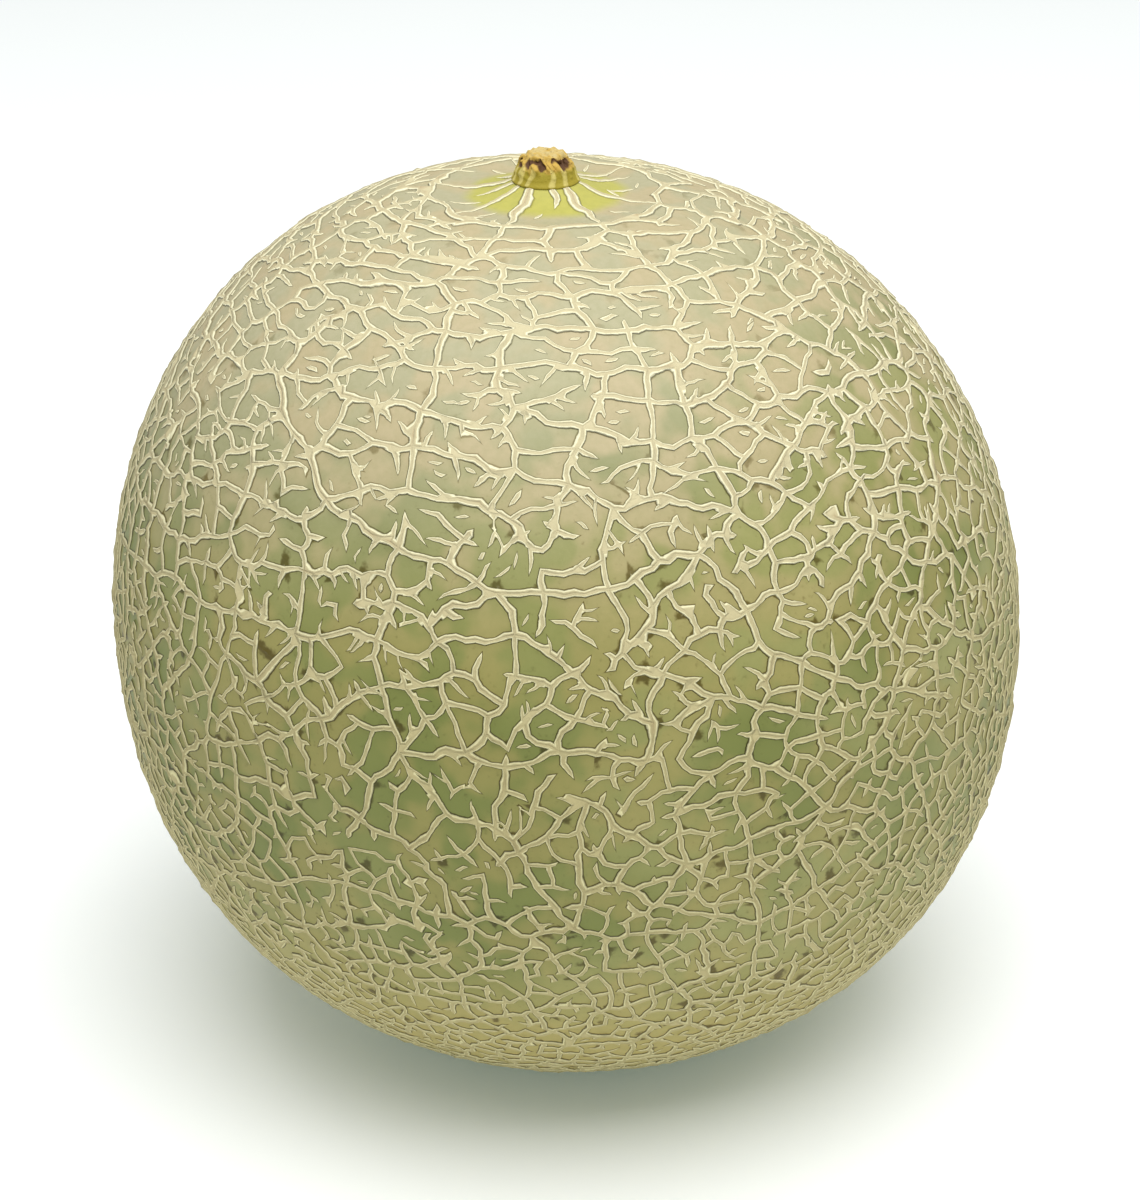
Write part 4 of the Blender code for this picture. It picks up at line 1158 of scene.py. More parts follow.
def turned_ways(unit, way, angle):
    """Unit tangents at places, turned from a given way by an angle to the left."""
    left = np.cross(unit, way)
    return way * np.cos(angle)[:, None] + left * np.sin(angle)[:, None]


def first_of_close(points, size):
    """For each point the lowest number of a point in the same cube of a given side."""
    cube = np.floor((points + CUBE_SHIFT) / size).astype(np.int64) @ np.array([10 ** 12, 10 ** 6, 1])
    _, first, inverse = np.unique(cube, return_index=True, return_inverse=True)
    return first[inverse]


def spaced(strokes, places, apart):
    """Only the first of those strokes whose places lie in the same cube of a given side."""
    first = first_of_close(places, apart / RADIUS)
    return kept(strokes, first == np.arange(len(first)))


# %% [markdown]
# Spurs leave a rope at a slant, like the barbs of a feather, and narrow to a tip.

# %% Spurs
SPURS = 13000
SPUR_SLANT = (0.6, 1.3)        # radians from the rope
SPUR_LENGTH = (2.2 * MM, 3.4 * MM, 6.5 * MM)
SPUR_APART = 1.9 * MM
SPUR_HALF = (0.5, 0.8)         # share of the rope's half width
SPUR_ROOM = 0.32 * MM
SPUR_CHECKS = (0.6, 0.85, 1.0, 1.15)   # shares of its length where it has to be in the open
SPUR_BOW = 0.07


def spurs(walk, marks, rng):
    """Short tapered strokes that start on the middle line of a rope and leave it at a slant."""
    on_rope = (walk["knot"] == TIP) & ~walk["first"] & ~walk["last"]
    inner = np.flatnonzero(on_rope & (angles(walk["unit"])[1] > colat_above(RING_RADIUS)))
    i = rng.choice(inner, SPURS, replace=False)
    start = walk["unit"][i]
    way = np.cross(walk["left"][i], start) * rng.choice((-1, 1), SPURS)[:, None]
    angle = rng.uniform(*SPUR_SLANT, SPURS) * rng.choice((-1, 1), SPURS)
    length = rng.triangular(*SPUR_LENGTH, SPURS) / RADIUS
    finish = unit_of(start + turned_ways(start, way, angle) * length[:, None])
    half = rng.uniform(*SPUR_HALF, SPURS) * walk["halves"][i].mean(1)
    bow = rng.normal(0, SPUR_BOW, SPURS) * length
    made = strokes_of(start, finish, half, half, 0.0, bow, np.tile((ON_ROPE, TIP), (SPURS, 1)), SPUR_STEP)
    made = thinned(kept(made, in_the_open(made, marks, SPUR_CHECKS, SPUR_ROOM)), rng)
    return spaced(made, made["start"], SPUR_APART)


# %% [markdown]
# Some ropes shoot past the knot where they meet two others. To find where there is room for that, the ropes
# of each knot are sorted by their bearing from it. The same order gives the corners of the skin later on.

# %% Overshoots
OVERSHOOT_ODDS = 0.45
OVERSHOOT_LENGTH = (1.6 * MM, 2.4 * MM, 4.6 * MM)
OVERSHOOT_GAP = 0.75           # least angle to the other ropes of the knot
OVERSHOOT_CHECKS = (0.7, 1.0, 1.2)
OVERSHOOT_TURN, OVERSHOOT_HALF = 0.2, 0.95


def half_edges(walk):
    """Each end of a stroke in a knot: its knot, station, way out and half widths, sorted round the knot."""
    ends = np.flatnonzero(walk["knot"] >= 0)
    other = np.where(walk["first"][ends], ends + 1, ends - 1)
    unit = walk["unit"][ends]
    way = walk["unit"][other] - unit
    way = unit_of(way - unit * (way * unit).sum(1)[:, None])
    halves = np.where(walk["first"][ends][:, None], walk["halves"][ends], walk["halves"][ends][:, ::-1])
    east, north = compass(unit)
    bearing = np.arctan2((way * north).sum(1), (way * east).sum(1))
    order = np.lexsort((bearing, walk["knot"][ends]))
    out = {"knot": walk["knot"][ends], "station": ends, "way": way, "halves": halves, "bearing": bearing}
    out = {name: column[order] for name, column in out.items()}
    group = np.flatnonzero(np.diff(out["knot"], prepend=-9))
    size = np.diff(group, append=len(order))
    following = np.arange(len(order)) + 1
    following[group + size - 1] = group
    out["next"] = following
    out["turn"] = (out["bearing"][following] - out["bearing"]) % (2 * math.pi)
    out["hold"] = np.repeat(size, size)
    return out


def overshoots(edges, places, marks, rng):
    """Strokes that go on past a knot of three ropes, where no other rope leaves it that way."""
    back = edges["bearing"] + math.pi
    after = edges["next"]
    last = after[after]
    gaps = [np.abs(half_turn(edges["bearing"][k] - back)) for k in (after, last)]
    free = (edges["hold"] == 3) & (np.minimum(*gaps) > OVERSHOOT_GAP)
    i = np.flatnonzero(free & (rng.random(len(free)) < OVERSHOOT_ODDS))
    start = places[edges["knot"][i]]
    length = rng.triangular(*OVERSHOOT_LENGTH, len(i)) / RADIUS
    way = turned_ways(start, -edges["way"][i], rng.normal(0, OVERSHOOT_TURN, len(i)))
    finish = unit_of(start + way * length[:, None])
    half = edges["halves"][i].mean(1) * OVERSHOOT_HALF
    made = strokes_of(start, finish, half, half, 0.0, 0.0, np.tile((ON_ROPE, TIP), (len(i), 1)), SPUR_STEP)
    return thinned(kept(made, in_the_open(made, marks, OVERSHOOT_CHECKS, SPUR_ROOM)), rng)


# %% [markdown]
# Dashes are short spindles on their own. They are sown over the whole fruit and kept where a cell is wide
# enough, and round the crown they lie along the rings.

# %% Dashes
DASH_TRIES = 14000
DASH_HEIGHTS = (-0.985, 0.93)  # on the sphere of radius 1
DASH_FLAT_HEIGHT, DASH_FLAT_TURN, DASH_TURN = 0.6, 0.25, 0.9   # above it, dashes lie along the rings
DASH_LENGTH = (1.4 * MM, 2.4 * MM, 4.8 * MM)
DASH_HALF = (0.3 * MM, 0.52 * MM)
DASH_BOW = 0.08
DASH_ROOM, DASH_END_ROOM, DASH_APART = 0.6 * MM, 0.2 * MM, 3.4 * MM


def dashes(marks, rng):
    """Spindles with two tips, sown evenly over the sphere and kept in the middle of wide cells."""
    z = rng.uniform(*DASH_HEIGHTS, DASH_TRIES)
    lon = rng.uniform(-math.pi, math.pi, DASH_TRIES)
    middle = direction(lon, np.arccos(z))
    spread = np.where(z > DASH_FLAT_HEIGHT, DASH_FLAT_TURN, DASH_TURN)
    way = turned_ways(middle, compass(middle)[0], rng.normal(0, 1, DASH_TRIES) * spread)
    reach = rng.triangular(*DASH_LENGTH, DASH_TRIES)[:, None] / RADIUS / 2
    half = rng.uniform(*DASH_HALF, DASH_TRIES) * width_share(middle)
    made = strokes_of(unit_of(middle - way * reach), unit_of(middle + way * reach), half, half)
    made["bow"] = rng.normal(0, DASH_BOW, DASH_TRIES) * reach[:, 0]
    free = in_the_open(made, marks, (0.5,), DASH_ROOM) & in_the_open(made, marks, (0.0, 1.0), DASH_END_ROOM)
    made = thinned(kept(made, free), rng)
    return spaced(made, (made["start"] + made["finish"]) / 2, DASH_APART)


def sow(ropes, places):
    """All strokes: the ropes, and what can be added clear of them."""
    rng = np.random.default_rng(SEED + 17)
    walk = stations(ropes, SEED + 13)
    marks = stretches(walk)
    extra = [spurs(walk, marks, rng), overshoots(half_edges(walk), places, marks, rng)]
    both = together(ropes, *extra)
    extra.append(dashes(stretches(stations(both, SEED + 13)), rng))
    print("spurs, overshoots and dashes", [len(table["start"]) for table in extra])
    return together(ropes, *extra)


strokes = sow(ropes, places)
walk = stations(strokes, SEED + 13)
marks = stretches(walk)
print("strokes", len(strokes["start"]), "stations", len(walk["unit"]))

# %% [markdown]
# ## Rows of points
# The skin is one mesh. Each stroke gives it a middle line and a foot on each side. At a knot the feet of
# two neighbouring ropes meet in a corner, which is worked out like the mitred corner of a frame. A row
# stops where it would run inside another rope.

# %% Rows and corners
ROW_SLACK = 0.1
CORNER_DEPTH = 0.9
SHARP_TURN = 2.2               # radians; above it the corner stands on the bisector
MITRE = 1.7                    # most that a corner may stand off, in half widths
CORNER_REACH = 3.2 * MM
LEAST_HALF = 0.17 * MM         # a station that is narrower has no points, unless it is a tip
RIM_ROOM = 0.0002


class Points:
    """A growing table of directions on the melon, and the pairs of them that must be joined."""

    def __init__(self, rim):
        """Start with the rim, a closed ring. No other point may lie inside it."""
        number = np.arange(len(rim))
        self.parts, self.count, self.lines = [rim], len(rim), [np.stack([number, np.roll(number, -1)], 1)]
        self.highest = rim[0, 2] - RIM_ROOM

    def add(self, unit, keep=True):
        """Add those points that are kept; gives each one its number, or -1."""
        keep = (unit[:, 2] < self.highest) & keep
        number = np.where(keep, self.count + np.cumsum(keep) - 1, -1)
        self.parts.append(unit[keep])
        self.count += int(keep.sum())
        return number

    def join(self, number, chain):
        """Join neighbours in each chain of numbers, passing over those that are missing."""
        there = np.flatnonzero(number >= 0)
        number, chain = number[there], chain[there]
        same = chain[1:] == chain[:-1]
        self.lines.append(np.stack([number[:-1][same], number[1:][same]], 1))


def corner_places(edges, unit):
    """Mitre between each half edge and the next: (half_v u + half_u v) / sin(turn), u and v their ways."""
    turn, after = edges["turn"], edges["next"]
    turn = np.where(turn < LEAST_SHARE, 2 * math.pi, turn)
    half_u, half_v = edges["halves"][:, 0] * FOOT, edges["halves"][after, 1] * FOOT
    u = np.stack([np.cos(edges["bearing"]), np.sin(edges["bearing"])], 1)
    sine = np.where(turn < SHARP_TURN, np.sin(turn), 1.0)
    sharp = (half_v[:, None] * u + half_u[:, None] * u[after]) / sine[:, None]
    middle = edges["bearing"] + turn / 2
    out = (half_u + half_v) / 2 * np.minimum(1 / np.sin(turn / 2), MITRE)
    blunt = np.stack([np.cos(middle), np.sin(middle)], 1) * out[:, None]
    spot = np.where((turn < SHARP_TURN)[:, None], sharp, blunt)
    far = np.linalg.norm(spot, axis=1)
    spot = spot * np.minimum(1, CORNER_REACH / np.maximum(far, 1e-9))[:, None] / RADIUS
    east, north = compass(unit)
    return unit_of(unit + east * spot[:, :1] + north * spot[:, 1:])


def stroke_points(points, walk, marks, places):
    """Middle lines, corners and feet of all strokes, with the lines along them."""
    at_knot, end = walk["knot"] >= 0, walk["first"] | walk["last"]
    used = np.unique(walk["knot"][at_knot])
    knot_number = np.full(len(places), -1)
    knot_number[used] = points.add(places[used])
    wide = walk["halves"].mean(1) > LEAST_HALF
    middle = points.add(walk["unit"], ~at_knot & (wide | end))
    middle[at_knot] = knot_number[walk["knot"][at_knot]]
    points.join(middle, walk["stroke"])
    edges = half_edges(walk)
    corners = corner_places(edges, places[edges["knot"]])
    corner = points.add(corners, (cork(corners, marks)[0] > CORNER_DEPTH) & (edges["hold"] > 1))
    right_corner = np.full(len(corner), -1)
    right_corner[edges["next"]] = corner
    leaving = walk["first"][edges["station"]]
    tip = (walk["knot"] == TIP) & end
    for side, sign in ((0, 1), (1, -1)):
        off = walk["left"] * (sign * FOOT * walk["halves"][:, side] / RADIUS)[:, None]
        row = unit_of(walk["unit"] + off)
        number = points.add(row, wide & ~end & (cork(row, marks)[0] > FOOT - ROW_SLACK))
        number[edges["station"]] = np.where(leaving == (side == 0), corner, right_corner)
        number[tip] = middle[tip]
        number[walk["knot"] == ON_ROPE] = -1
        points.join(number, walk["stroke"])


# %% [markdown]
# Bare skin needs only a few points, to keep its curve between the ropes. The cone and the blossom scar have
# rings of points of their own, and the seat of the stem has an exact circle, because the mesh ends there
# before its floor is put in.

# %% Points on bare skin
SKIN_POINTS = 9000
SKIN_ROOM = 0.8 * MM
CONE_ROOM = 0.2 * MM
SEAT_SIDES = 40
RING_SPACING, RING_LEAST = 1.3 * MM, 5
SCAR_RINGS = (7.9, 7.2, 6.5, 5.8, 4.9, 4.0, 3.1, 2.3, 1.5, 0.7)      # mm


def ring_places(reach, colat, shift=0.0):
    """Places at one distance from the axis, RING_SPACING apart or a little closer."""
    count = int(2 * math.pi * reach / RING_SPACING) + RING_LEAST
    return direction(2 * math.pi * (np.arange(count) + shift) / count, colat)


def skin_points(points, marks):
    """A Fibonacci lattice over the sphere: equal steps in height, and the golden angle from each to the
    next. It is kept where no rope is near. Closer rings lie on the cone and in the scar."""
    step = np.arange(SKIN_POINTS) + 0.5
    lattice = direction(step * math.pi * (3 - math.sqrt(5)), np.arccos(1 - 2 * step / SKIN_POINTS))
    colat = angles(lattice)[1]
    away = (colat > colat_above(CONE_RADIUS)) & (colat < colat_below(SCAR_NET_RADIUS))
    points.add(lattice, away & (cork(lattice, marks)[2] > SKIN_ROOM))
    cone_rings = np.arange(SEAT_RADIUS + RING_SPACING / 2, RING_RADIUS, RING_SPACING)
    for reaches, colat_at in ((cone_rings, colat_above), (np.array(SCAR_RINGS) * MM, colat_below)):
        for i, reach in enumerate(reaches):
            ring = ring_places(reach, colat_at(reach), i / 2)
            points.add(ring, cork(ring, marks)[2] > CONE_ROOM)
    points.add(np.array([[0.0, 0.0, -1.0]]))


def all_points(walk, marks, places):
    """All points of the skin, from the circle of the seat outwards."""
    points = Points(direction(2 * math.pi * np.arange(SEAT_SIDES) / SEAT_SIDES, colat_above(SEAT_RADIUS)))
    stroke_points(points, walk, marks, places)
    skin_points(points, marks)
    return points


points = all_points(walk, marks, places)
print("points", points.count, "lines", sum(len(part) for part in points.lines))

# %% [markdown]
# ## One closed skin
# The points are joined by a Delaunay net, which gives the roundest triangles, with the rows as fixed edges.
# It works on a flat chart, so the sphere is seen from the stem's pole onto the plane, which keeps angles
# true. The seat's circle is then the outer edge of the chart. The rise of each point comes from its
# distance to the strokes, and only then the point is lifted onto the melon.

# %% Triangles and heights
CLOSE_POINTS = 0.12 * MM / RADIUS
CROWN_LOW = 0.8                # share of their height that the ropes have round the stem
CROWN_LOW_COLAT = (30.0, 48.0)
CORK_NOISE, CORK_NOISE_WAVE, CORK_NOISE_END = 0.05 * MM, 2.6 * MM, 1.5
SEAT_BLEND = 1.2               # degrees from the seat's rim to where the ropes have their height
CHART_SLACK = 1e-9


def merged(points):
    """Points and lines with those in the same small cube made one; the seat's points stay."""
    unit = np.concatenate(points.parts)
    first = first_of_close(unit, CLOSE_POINTS)
    first[:SEAT_SIDES] = np.arange(SEAT_SIDES)
    keep, number = np.unique(first, return_inverse=True)
    lines = number[np.concatenate(points.lines)]
    lines = np.unique(np.sort(lines[lines[:, 0] != lines[:, 1]], axis=1), axis=0)
    return unit[keep], lines


def delaunay(unit, lines):
    """Triangles on the chart (x, y) / (1 - z), the places of its points on the sphere again, and the
    numbers of the seat's points among them."""
    flat = unit[:, :2] / (1 - unit[:, 2:])
    found = geometry.delaunay_2d_cdt([Vector(p) for p in flat.tolist()], lines.tolist(), [], 0, CHART_SLACK)
    spots = np.array([p[:] for p in found[0]])
    square = (spots ** 2).sum(1, keepdims=True)
    seat = {i: n for n, source in enumerate(found[3]) for i in source if i < SEAT_SIDES}
    unit = np.concatenate([2 * spots, square - 1], 1) / (square + 1)
    return unit, np.array(found[2])[:, ::-1], [seat[i] for i in range(SEAT_SIDES)]


def rind_heights(unit, marks):
    """Rise of each place over the bare skin, with its depth in the cork and the rope's half width. A
    place that is nearly at a foot counts as bare, so that the painted shade line stays even."""
    across, broad, _, rise = cork(unit, marks)
    across = np.where(across > FOOT - 2 * ROW_SLACK, np.maximum(across, FOOT), across)
    colat = np.degrees(angles(unit)[1])
    low = np.interp(colat, CROWN_LOW_COLAT, (CROWN_LOW, 1.0))
    fade = np.clip(CORK_NOISE_END - across, 0, 1)
    grain = CORK_NOISE * ripple(unit * RADIUS, CORK_NOISE_WAVE, SEED + 3) * fade
    grown_in = np.clip((colat - math.degrees(colat_above(SEAT_RADIUS))) / SEAT_BLEND, 0, 1)
    return (rise * low + grain) * grown_in, across, broad


# %% [markdown]
# There are only a few triangles across each rope, so smooth shading over them would look lumpy. Every point
# has the normal of the bare skin below it instead, and the shader adds the section of the ropes as relief.
# The mesh is closed by the seat of the stem.

# %% Rind
NORMAL_STEP = 0.3 * MM / RADIUS


def mesh_of(name, verts, faces, attributes, normals=None):
    """A smooth mesh object from arrays, with a float on each point for every attribute."""
    mesh = bpy.data.meshes.new(name)
    mesh.from_pydata(verts.tolist(), [], faces.tolist())
    for label, values in attributes.items():
        mesh.attributes.new(label, "FLOAT", "POINT").data.foreach_set("value", values.astype(np.float32))
    mesh.shade_smooth()
    mesh.update()
    if normals is not None:
        mesh.normals_split_custom_set_from_vertices(normals.tolist())
    piece = bpy.data.objects.new(name, mesh)
    bpy.context.scene.collection.objects.link(piece)
    return piece


def skin_normals(unit):
    """Normals of the bare skin: the cross product of two short steps along it."""
    axis = np.where(np.abs(unit[:, 2:]) < 0.9, (0.0, 0.0, 1.0), (1.0, 0.0, 0.0))
    east = unit_of(np.cross(axis, unit))
    north = np.cross(unit, east)
    ways = [surface(unit_of(unit + NORMAL_STEP * w)) - surface(unit_of(unit - NORMAL_STEP * w))
            for w in (east, north)]
    return unit_of(np.cross(*ways))


def make_rind(points, marks):
    """The rind: the lifted Delaunay skin, and the straight wall and the floor of the stem's seat."""
    unit, faces, rim = delaunay(*merged(points))
    rise, across, broad = rind_heights(unit, marks)
    verts = surface(unit, rise)
    centre = verts[rim].mean(0)
    floor = centre + (verts[rim] - centre) * SEAT_TAPER - [0, 0, SEAT_DEPTH]
    low = len(verts) + np.arange(SEAT_SIDES)
    rim, rim_next, low_next = np.array(rim), np.roll(rim, -1), np.roll(low, -1)
    middle = np.full(SEAT_SIDES, low[-1] + 1)
    wall = [(rim, rim_next, low_next), (rim, low_next, low), (low, low_next, middle)]
    faces = np.concatenate([faces] + [np.stack(triple, 1) for triple in wall])
    verts = np.concatenate([verts, floor, [centre - [0, 0, SEAT_DEPTH]]])
    inside = SEAT_SIDES + 1
    normals = np.concatenate([skin_normals(unit), np.tile((0.0, 0.0, 1.0), (inside, 1))])
    reach = np.append(angles(unit)[1], np.zeros(inside)) * RADIUS
    rind = mesh_of("rind", verts, faces, {
        "across": np.append(across, np.full(inside, BARE)),
        "broad": np.append(broad, np.zeros(inside)) / MM,
        "reach": reach / MM,
    }, normals)
    return rind, centre


rind, seat_centre = make_rind(points, marks)
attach(rind, "root")
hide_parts("melon")
print("rind", len(rind.data.vertices), "points", len(rind.data.polygons), "triangles")

# %% [markdown]
# ## The stub of the stem
# The stalk dried where it was cut: an olive collar below, then a swollen ring of golden strands with dark
# gaps between them, and a pale wrinkled cut on top. It is a turned profile whose radius is also changed
# round the axis, with most of that in the ring of strands.

# %% Shape of the stub
STUB_PROFILE = (               # height above the seat's rim and radius; all lengths of the stub are in mm
    (-1.1, 3.9), (-0.6, 4.4), (-0.35, 5.2), (-0.1, 5.35), (0.5, 4.95), (1.4, 4.65), (2.1, 4.5), (2.6, 4.35),
    (3.1, 4.1), (3.5, 3.75), (3.9, 3.3), (4.2, 2.85), (4.38, 2.3), (4.4, 1.4), (4.35, 0.6), (4.35, 0.0),
)
STUB_ROWS, STUB_COLUMNS = 90, 240
STRANDS, STRAND_POWER = 23, 0.5
STRAND_BAND = (2.95, 0.75)     # height of the middle of the strands, and its spread
STRAND_DEPTH, STRAND_SHARE = 0.85, 0.6
SWAY, SWAY_WAVE = 0.12, 3.0    # how far the strands sway aside, in radians
HOLLOW_SQUASH = (1, 1, 0.6)    # makes the hollows taller than wide
HOLLOW_WAVE, HOLLOW_SHARE, HOLLOW_MOST = 2.0, 0.5, 1.15
STUB_RIBS = (0.24, 0.11)       # height, and half width in radians, of the cone's ribs on the stub
RIB_FOOT, RIB_BLEND, RIB_END = 0.3, 0.4, 3.2
LUMPS, LUMP_WAVE = 0.22, 3.2
FINE_LUMPS, FINE_WAVE, FINE_FROM = 0.4, 1.3, 0.8
CUT_FROM, CUT_BLEND, WRINKLE = 3.0, 0.8, 0.2
STUB_TOP = 4.8                 # no wrinkle of the cut rises above it
AXIS_BLEND = 1.5               # nearer to the axis than this, all relief fades


def smooth_path(knots, count):
    """Catmull-Rom spline through the knots, at equal steps of its parameter."""
    knots = np.array(knots, float)
    spread = np.concatenate([2 * knots[:1] - knots[1:2], knots, 2 * knots[-1:] - knots[-2:-1]])
    at = np.linspace(0, len(knots) - 1, count)
    i = np.minimum(at.astype(int), len(knots) - 2)
    t = (at - i)[:, None]
    a, b, c, d = (spread[i + k] for k in range(4))
    square, cube = 2 * a - 5 * b + 4 * c - d, 3 * b - 3 * c + d - a
    return 0.5 * (2 * b + (c - a) * t + square * t ** 2 + cube * t ** 3)


def stub_gaps(around, turn, sway, band):
    """Depth of the gaps in the band: 1 - |sin|^STRAND_POWER round the axis, and hollows by slow noise."""
    strand = np.abs(np.sin(STRANDS / 2 * (turn + sway))) ** STRAND_POWER
    hollow = ripple(around * HOLLOW_SQUASH, HOLLOW_WAVE, SEED + 25) + HOLLOW_SHARE
    return (1 - strand) * STRAND_SHARE * band + np.clip(hollow, 0, HOLLOW_MOST) * band


def stub_ribs(high, turn, sway):
    """A bell curve round the upper end of each rib of the cone, faded out at its foot and its head."""
    rib_turns = np.radians([rib[0] + rib[3] for rib in RIBS])
    aside = half_turn(turn[..., None] + sway[..., None] / 2 - rib_turns)
    bell = np.exp(-(aside / STUB_RIBS[1]) ** 2).max(-1)
    return bell * np.clip((high + RIB_FOOT) / RIB_BLEND, 0, 1) * np.clip(RIB_END - high, 0, 1)


stub_reach = smooth_path(STUB_PROFILE, STUB_ROWS)[:, 1].max()
print("the profile of the stub reaches", round(float(stub_reach), 2), "mm from its axis")

# %% [markdown]
# The relief goes onto a grid of rows and columns. The grid is closed by one point on the axis at each end.


def stub_grid():
    """Grid of the stub with its height, gaps and ribs: the profile turned round the axis, its radius
    less the gaps and more by the ribs and by lumps of two sizes, and its cut wrinkled up and down."""
    height, radius = smooth_path(STUB_PROFILE, STUB_ROWS).T
    radius = np.maximum(radius, 0)
    lon = 2 * math.pi * np.arange(STUB_COLUMNS) / STUB_COLUMNS
    high, turn = np.meshgrid(height, lon, indexing="ij")
    out = np.repeat(radius[:, None], STUB_COLUMNS, 1)
    around = np.stack([out * np.cos(turn), out * np.sin(turn), high], -1)
    band = np.exp(-((high - STRAND_BAND[0]) / STRAND_BAND[1]) ** 2)
    sway = SWAY * ripple(around, SWAY_WAVE, SEED + 21)
    gaps, ribs = stub_gaps(around, turn, sway, band), stub_ribs(high, turn, sway)
    lumps = ripple(around, LUMP_WAVE, SEED + 22) * band
    lumps += FINE_LUMPS * ripple(around, FINE_WAVE, SEED + 23) * (high > FINE_FROM)
    edge = np.clip(radius / AXIS_BLEND, 0, 1)[:, None]
    out = out + edge * (LUMPS * lumps - STRAND_DEPTH * gaps + STUB_RIBS[0] * ribs)
    wrinkle = WRINKLE * ripple(around, FINE_WAVE, SEED + 24) * np.clip((high - CUT_FROM) / CUT_BLEND, 0, 1)
    verts = np.stack([out * np.cos(turn), out * np.sin(turn), np.minimum(high + wrinkle, STUB_TOP)], -1)
    return verts, high, gaps, ribs


def make_stub(centre):
    """The stub's grid, closed above by the middle of its last row and below by a point on the axis."""
    grid, high, gaps, ribs = stub_grid()
    ends = [high[-1, 0], high[0, 0]]
    verts = np.concatenate([grid[:-1].reshape(-1, 3), grid[-1:].mean(1), [[0, 0, ends[1]]]]) * MM + centre
    i = np.arange((STUB_ROWS - 1) * STUB_COLUMNS).reshape(STUB_ROWS - 1, STUB_COLUMNS)
    right = np.roll(i, -1, 1)
    low, low_right, up, up_right = i[:-1], right[:-1], i[1:], right[1:]
    tip, root = np.full(STUB_COLUMNS, len(verts) - 2), np.full(STUB_COLUMNS, len(verts) - 1)
    triples = [(low, low_right, up_right), (low, up_right, up)]
    triples += [(i[-1], right[-1], tip), (right[0], i[0], root)]
    faces = np.concatenate([np.stack(triple, -1).reshape(-1, 3) for triple in triples])
    gap, rib = (np.append(values[:-1].ravel(), [0, 0]) for values in (gaps, ribs))
    level = np.append(high[:-1].ravel(), ends)
    return mesh_of("stem_stub_dry", verts, faces, {"gap": gap, "level": level, "rib": rib})


stub = make_stub(seat_centre)
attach(stub, "root")
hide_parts("stem_stub")
stub_top = max(vertex.co.z for vertex in stub.data.vertices)
print("stub", len(stub.data.polygons), "triangles, top at", round(stub_top / MM, 2))

# %% [markdown]
# ## Finishes
# A material is a tree of nodes. These few helpers keep the trees short to write: a flow can be added to or
# multiplied like a number. Colours are given as a screen shows them, and are turned into the linear values
# that the shader works with.

# %% Colours and flows
SCREEN_KNEE, SCREEN_SLOPE = 0.04045, 12.92
SCREEN_SHIFT, SCREEN_POWER = 0.055, 2.4


def screen(red, green, blue):
    """Linear colour of screen values from 0 to 255: a power curve with a straight foot."""
    share = np.array([red, green, blue]) / 255
    curve = ((share + SCREEN_SHIFT) / (1 + SCREEN_SHIFT)) ** SCREEN_POWER
    return (*np.where(share < SCREEN_KNEE, share / SCREEN_SLOPE, curve).tolist(), 1.0)


class Flow:
    """What flows out of a node. Its sums, differences and products are Math nodes."""

    def __init__(self, finish, socket):
        self.finish, self.socket = finish, socket

    def maths(self, operation, other):
        """What flows out of a Math node that works on this flow and another or a number."""
        return self.finish.add("ShaderNodeMath", 0, {0: self, 1: other}, operation=operation)

    def __add__(self, other):
        return self.maths("ADD", other)

    def __sub__(self, other):
        return self.maths("SUBTRACT", other)

    def __mul__(self, other):
        return self.maths("MULTIPLY", other)


print("half of the screen's scale is", round(screen(128, 128, 128)[0], 3), "of the light")

# %% [markdown]
# A finish keeps a material and its tree of nodes together, and has a short name for each kind of node.

# %% A finish


class Finish:
    """A material with its tree of nodes and the place of the point that is shaded."""

    def __init__(self, name, **values):
        self.material = bpy.data.materials.new(name)
        self.material.use_nodes = True
        self.tree = self.material.node_tree
        self.place = self.add("ShaderNodeTexCoord", "Object")
        self.paint(**values)

    def put(self, socket, value):
        """Link a flow to a socket, or set a plain value on it."""
        if isinstance(value, Flow):
            self.tree.links.new(value.socket, socket)
        else:
            socket.default_value = value

    def add(self, kind, output, inputs=(), **settings):
        """What flows out of a new node of a kind, with its settings and its inputs."""
        node = self.tree.nodes.new(kind)
        for name, value in settings.items():
            setattr(node, name, value)
        for name, value in dict(inputs).items():
            self.put(node.inputs[name], value)
        return Flow(self, node.outputs[output])

    def paint(self, **values):
        """Put each value on the shader's socket of that name."""
        for name, value in values.items():
            self.put(self.tree.nodes["Principled BSDF"].inputs[name.replace("_", " ")], value)

    def relief(self, height, strength=1.0, distance=1.0):
        """Tilt the shader's normal as a relief of that height would."""
        inputs = {"Height": height, "Strength": strength, "Distance": distance}
        self.paint(Normal=self.add("ShaderNodeBump", 0, inputs))

    def mix(self, share, first, second, blend="MIX"):
        """Colour between two others, or with MULTIPLY between the first and their product."""
        inputs = {0: share, 6: first, 7: second}
        return self.add("ShaderNodeMix", 2, inputs, data_type="RGBA", blend_type=blend)

    def step(self, value, low, high, least=0.0, most=1.0):
        """A value carried from low..high to least..most by a smooth step."""
        inputs = {"Value": value, "From Min": low, "From Max": high, "To Min": least, "To Max": most}
        return self.add("ShaderNodeMapRange", 0, inputs, interpolation_type="SMOOTHSTEP")

    def noise(self, size, detail=2.0, rough=0.5):
        """Noise whose patches are about size metres wide; around 0.5."""
        inputs = {"Vector": self.place, "Scale": 1 / size, "Detail": detail, "Roughness": rough}
        return self.add("ShaderNodeTexNoise", "Fac", inputs)

    def attribute(self, name):
        """The number that each point of the mesh carries under a name."""
        return self.add("ShaderNodeAttribute", "Fac", attribute_name=name)

    def axis(self, number):
        """One coordinate of the place."""
        return self.add("ShaderNodeSeparateXYZ", number, {0: self.place})


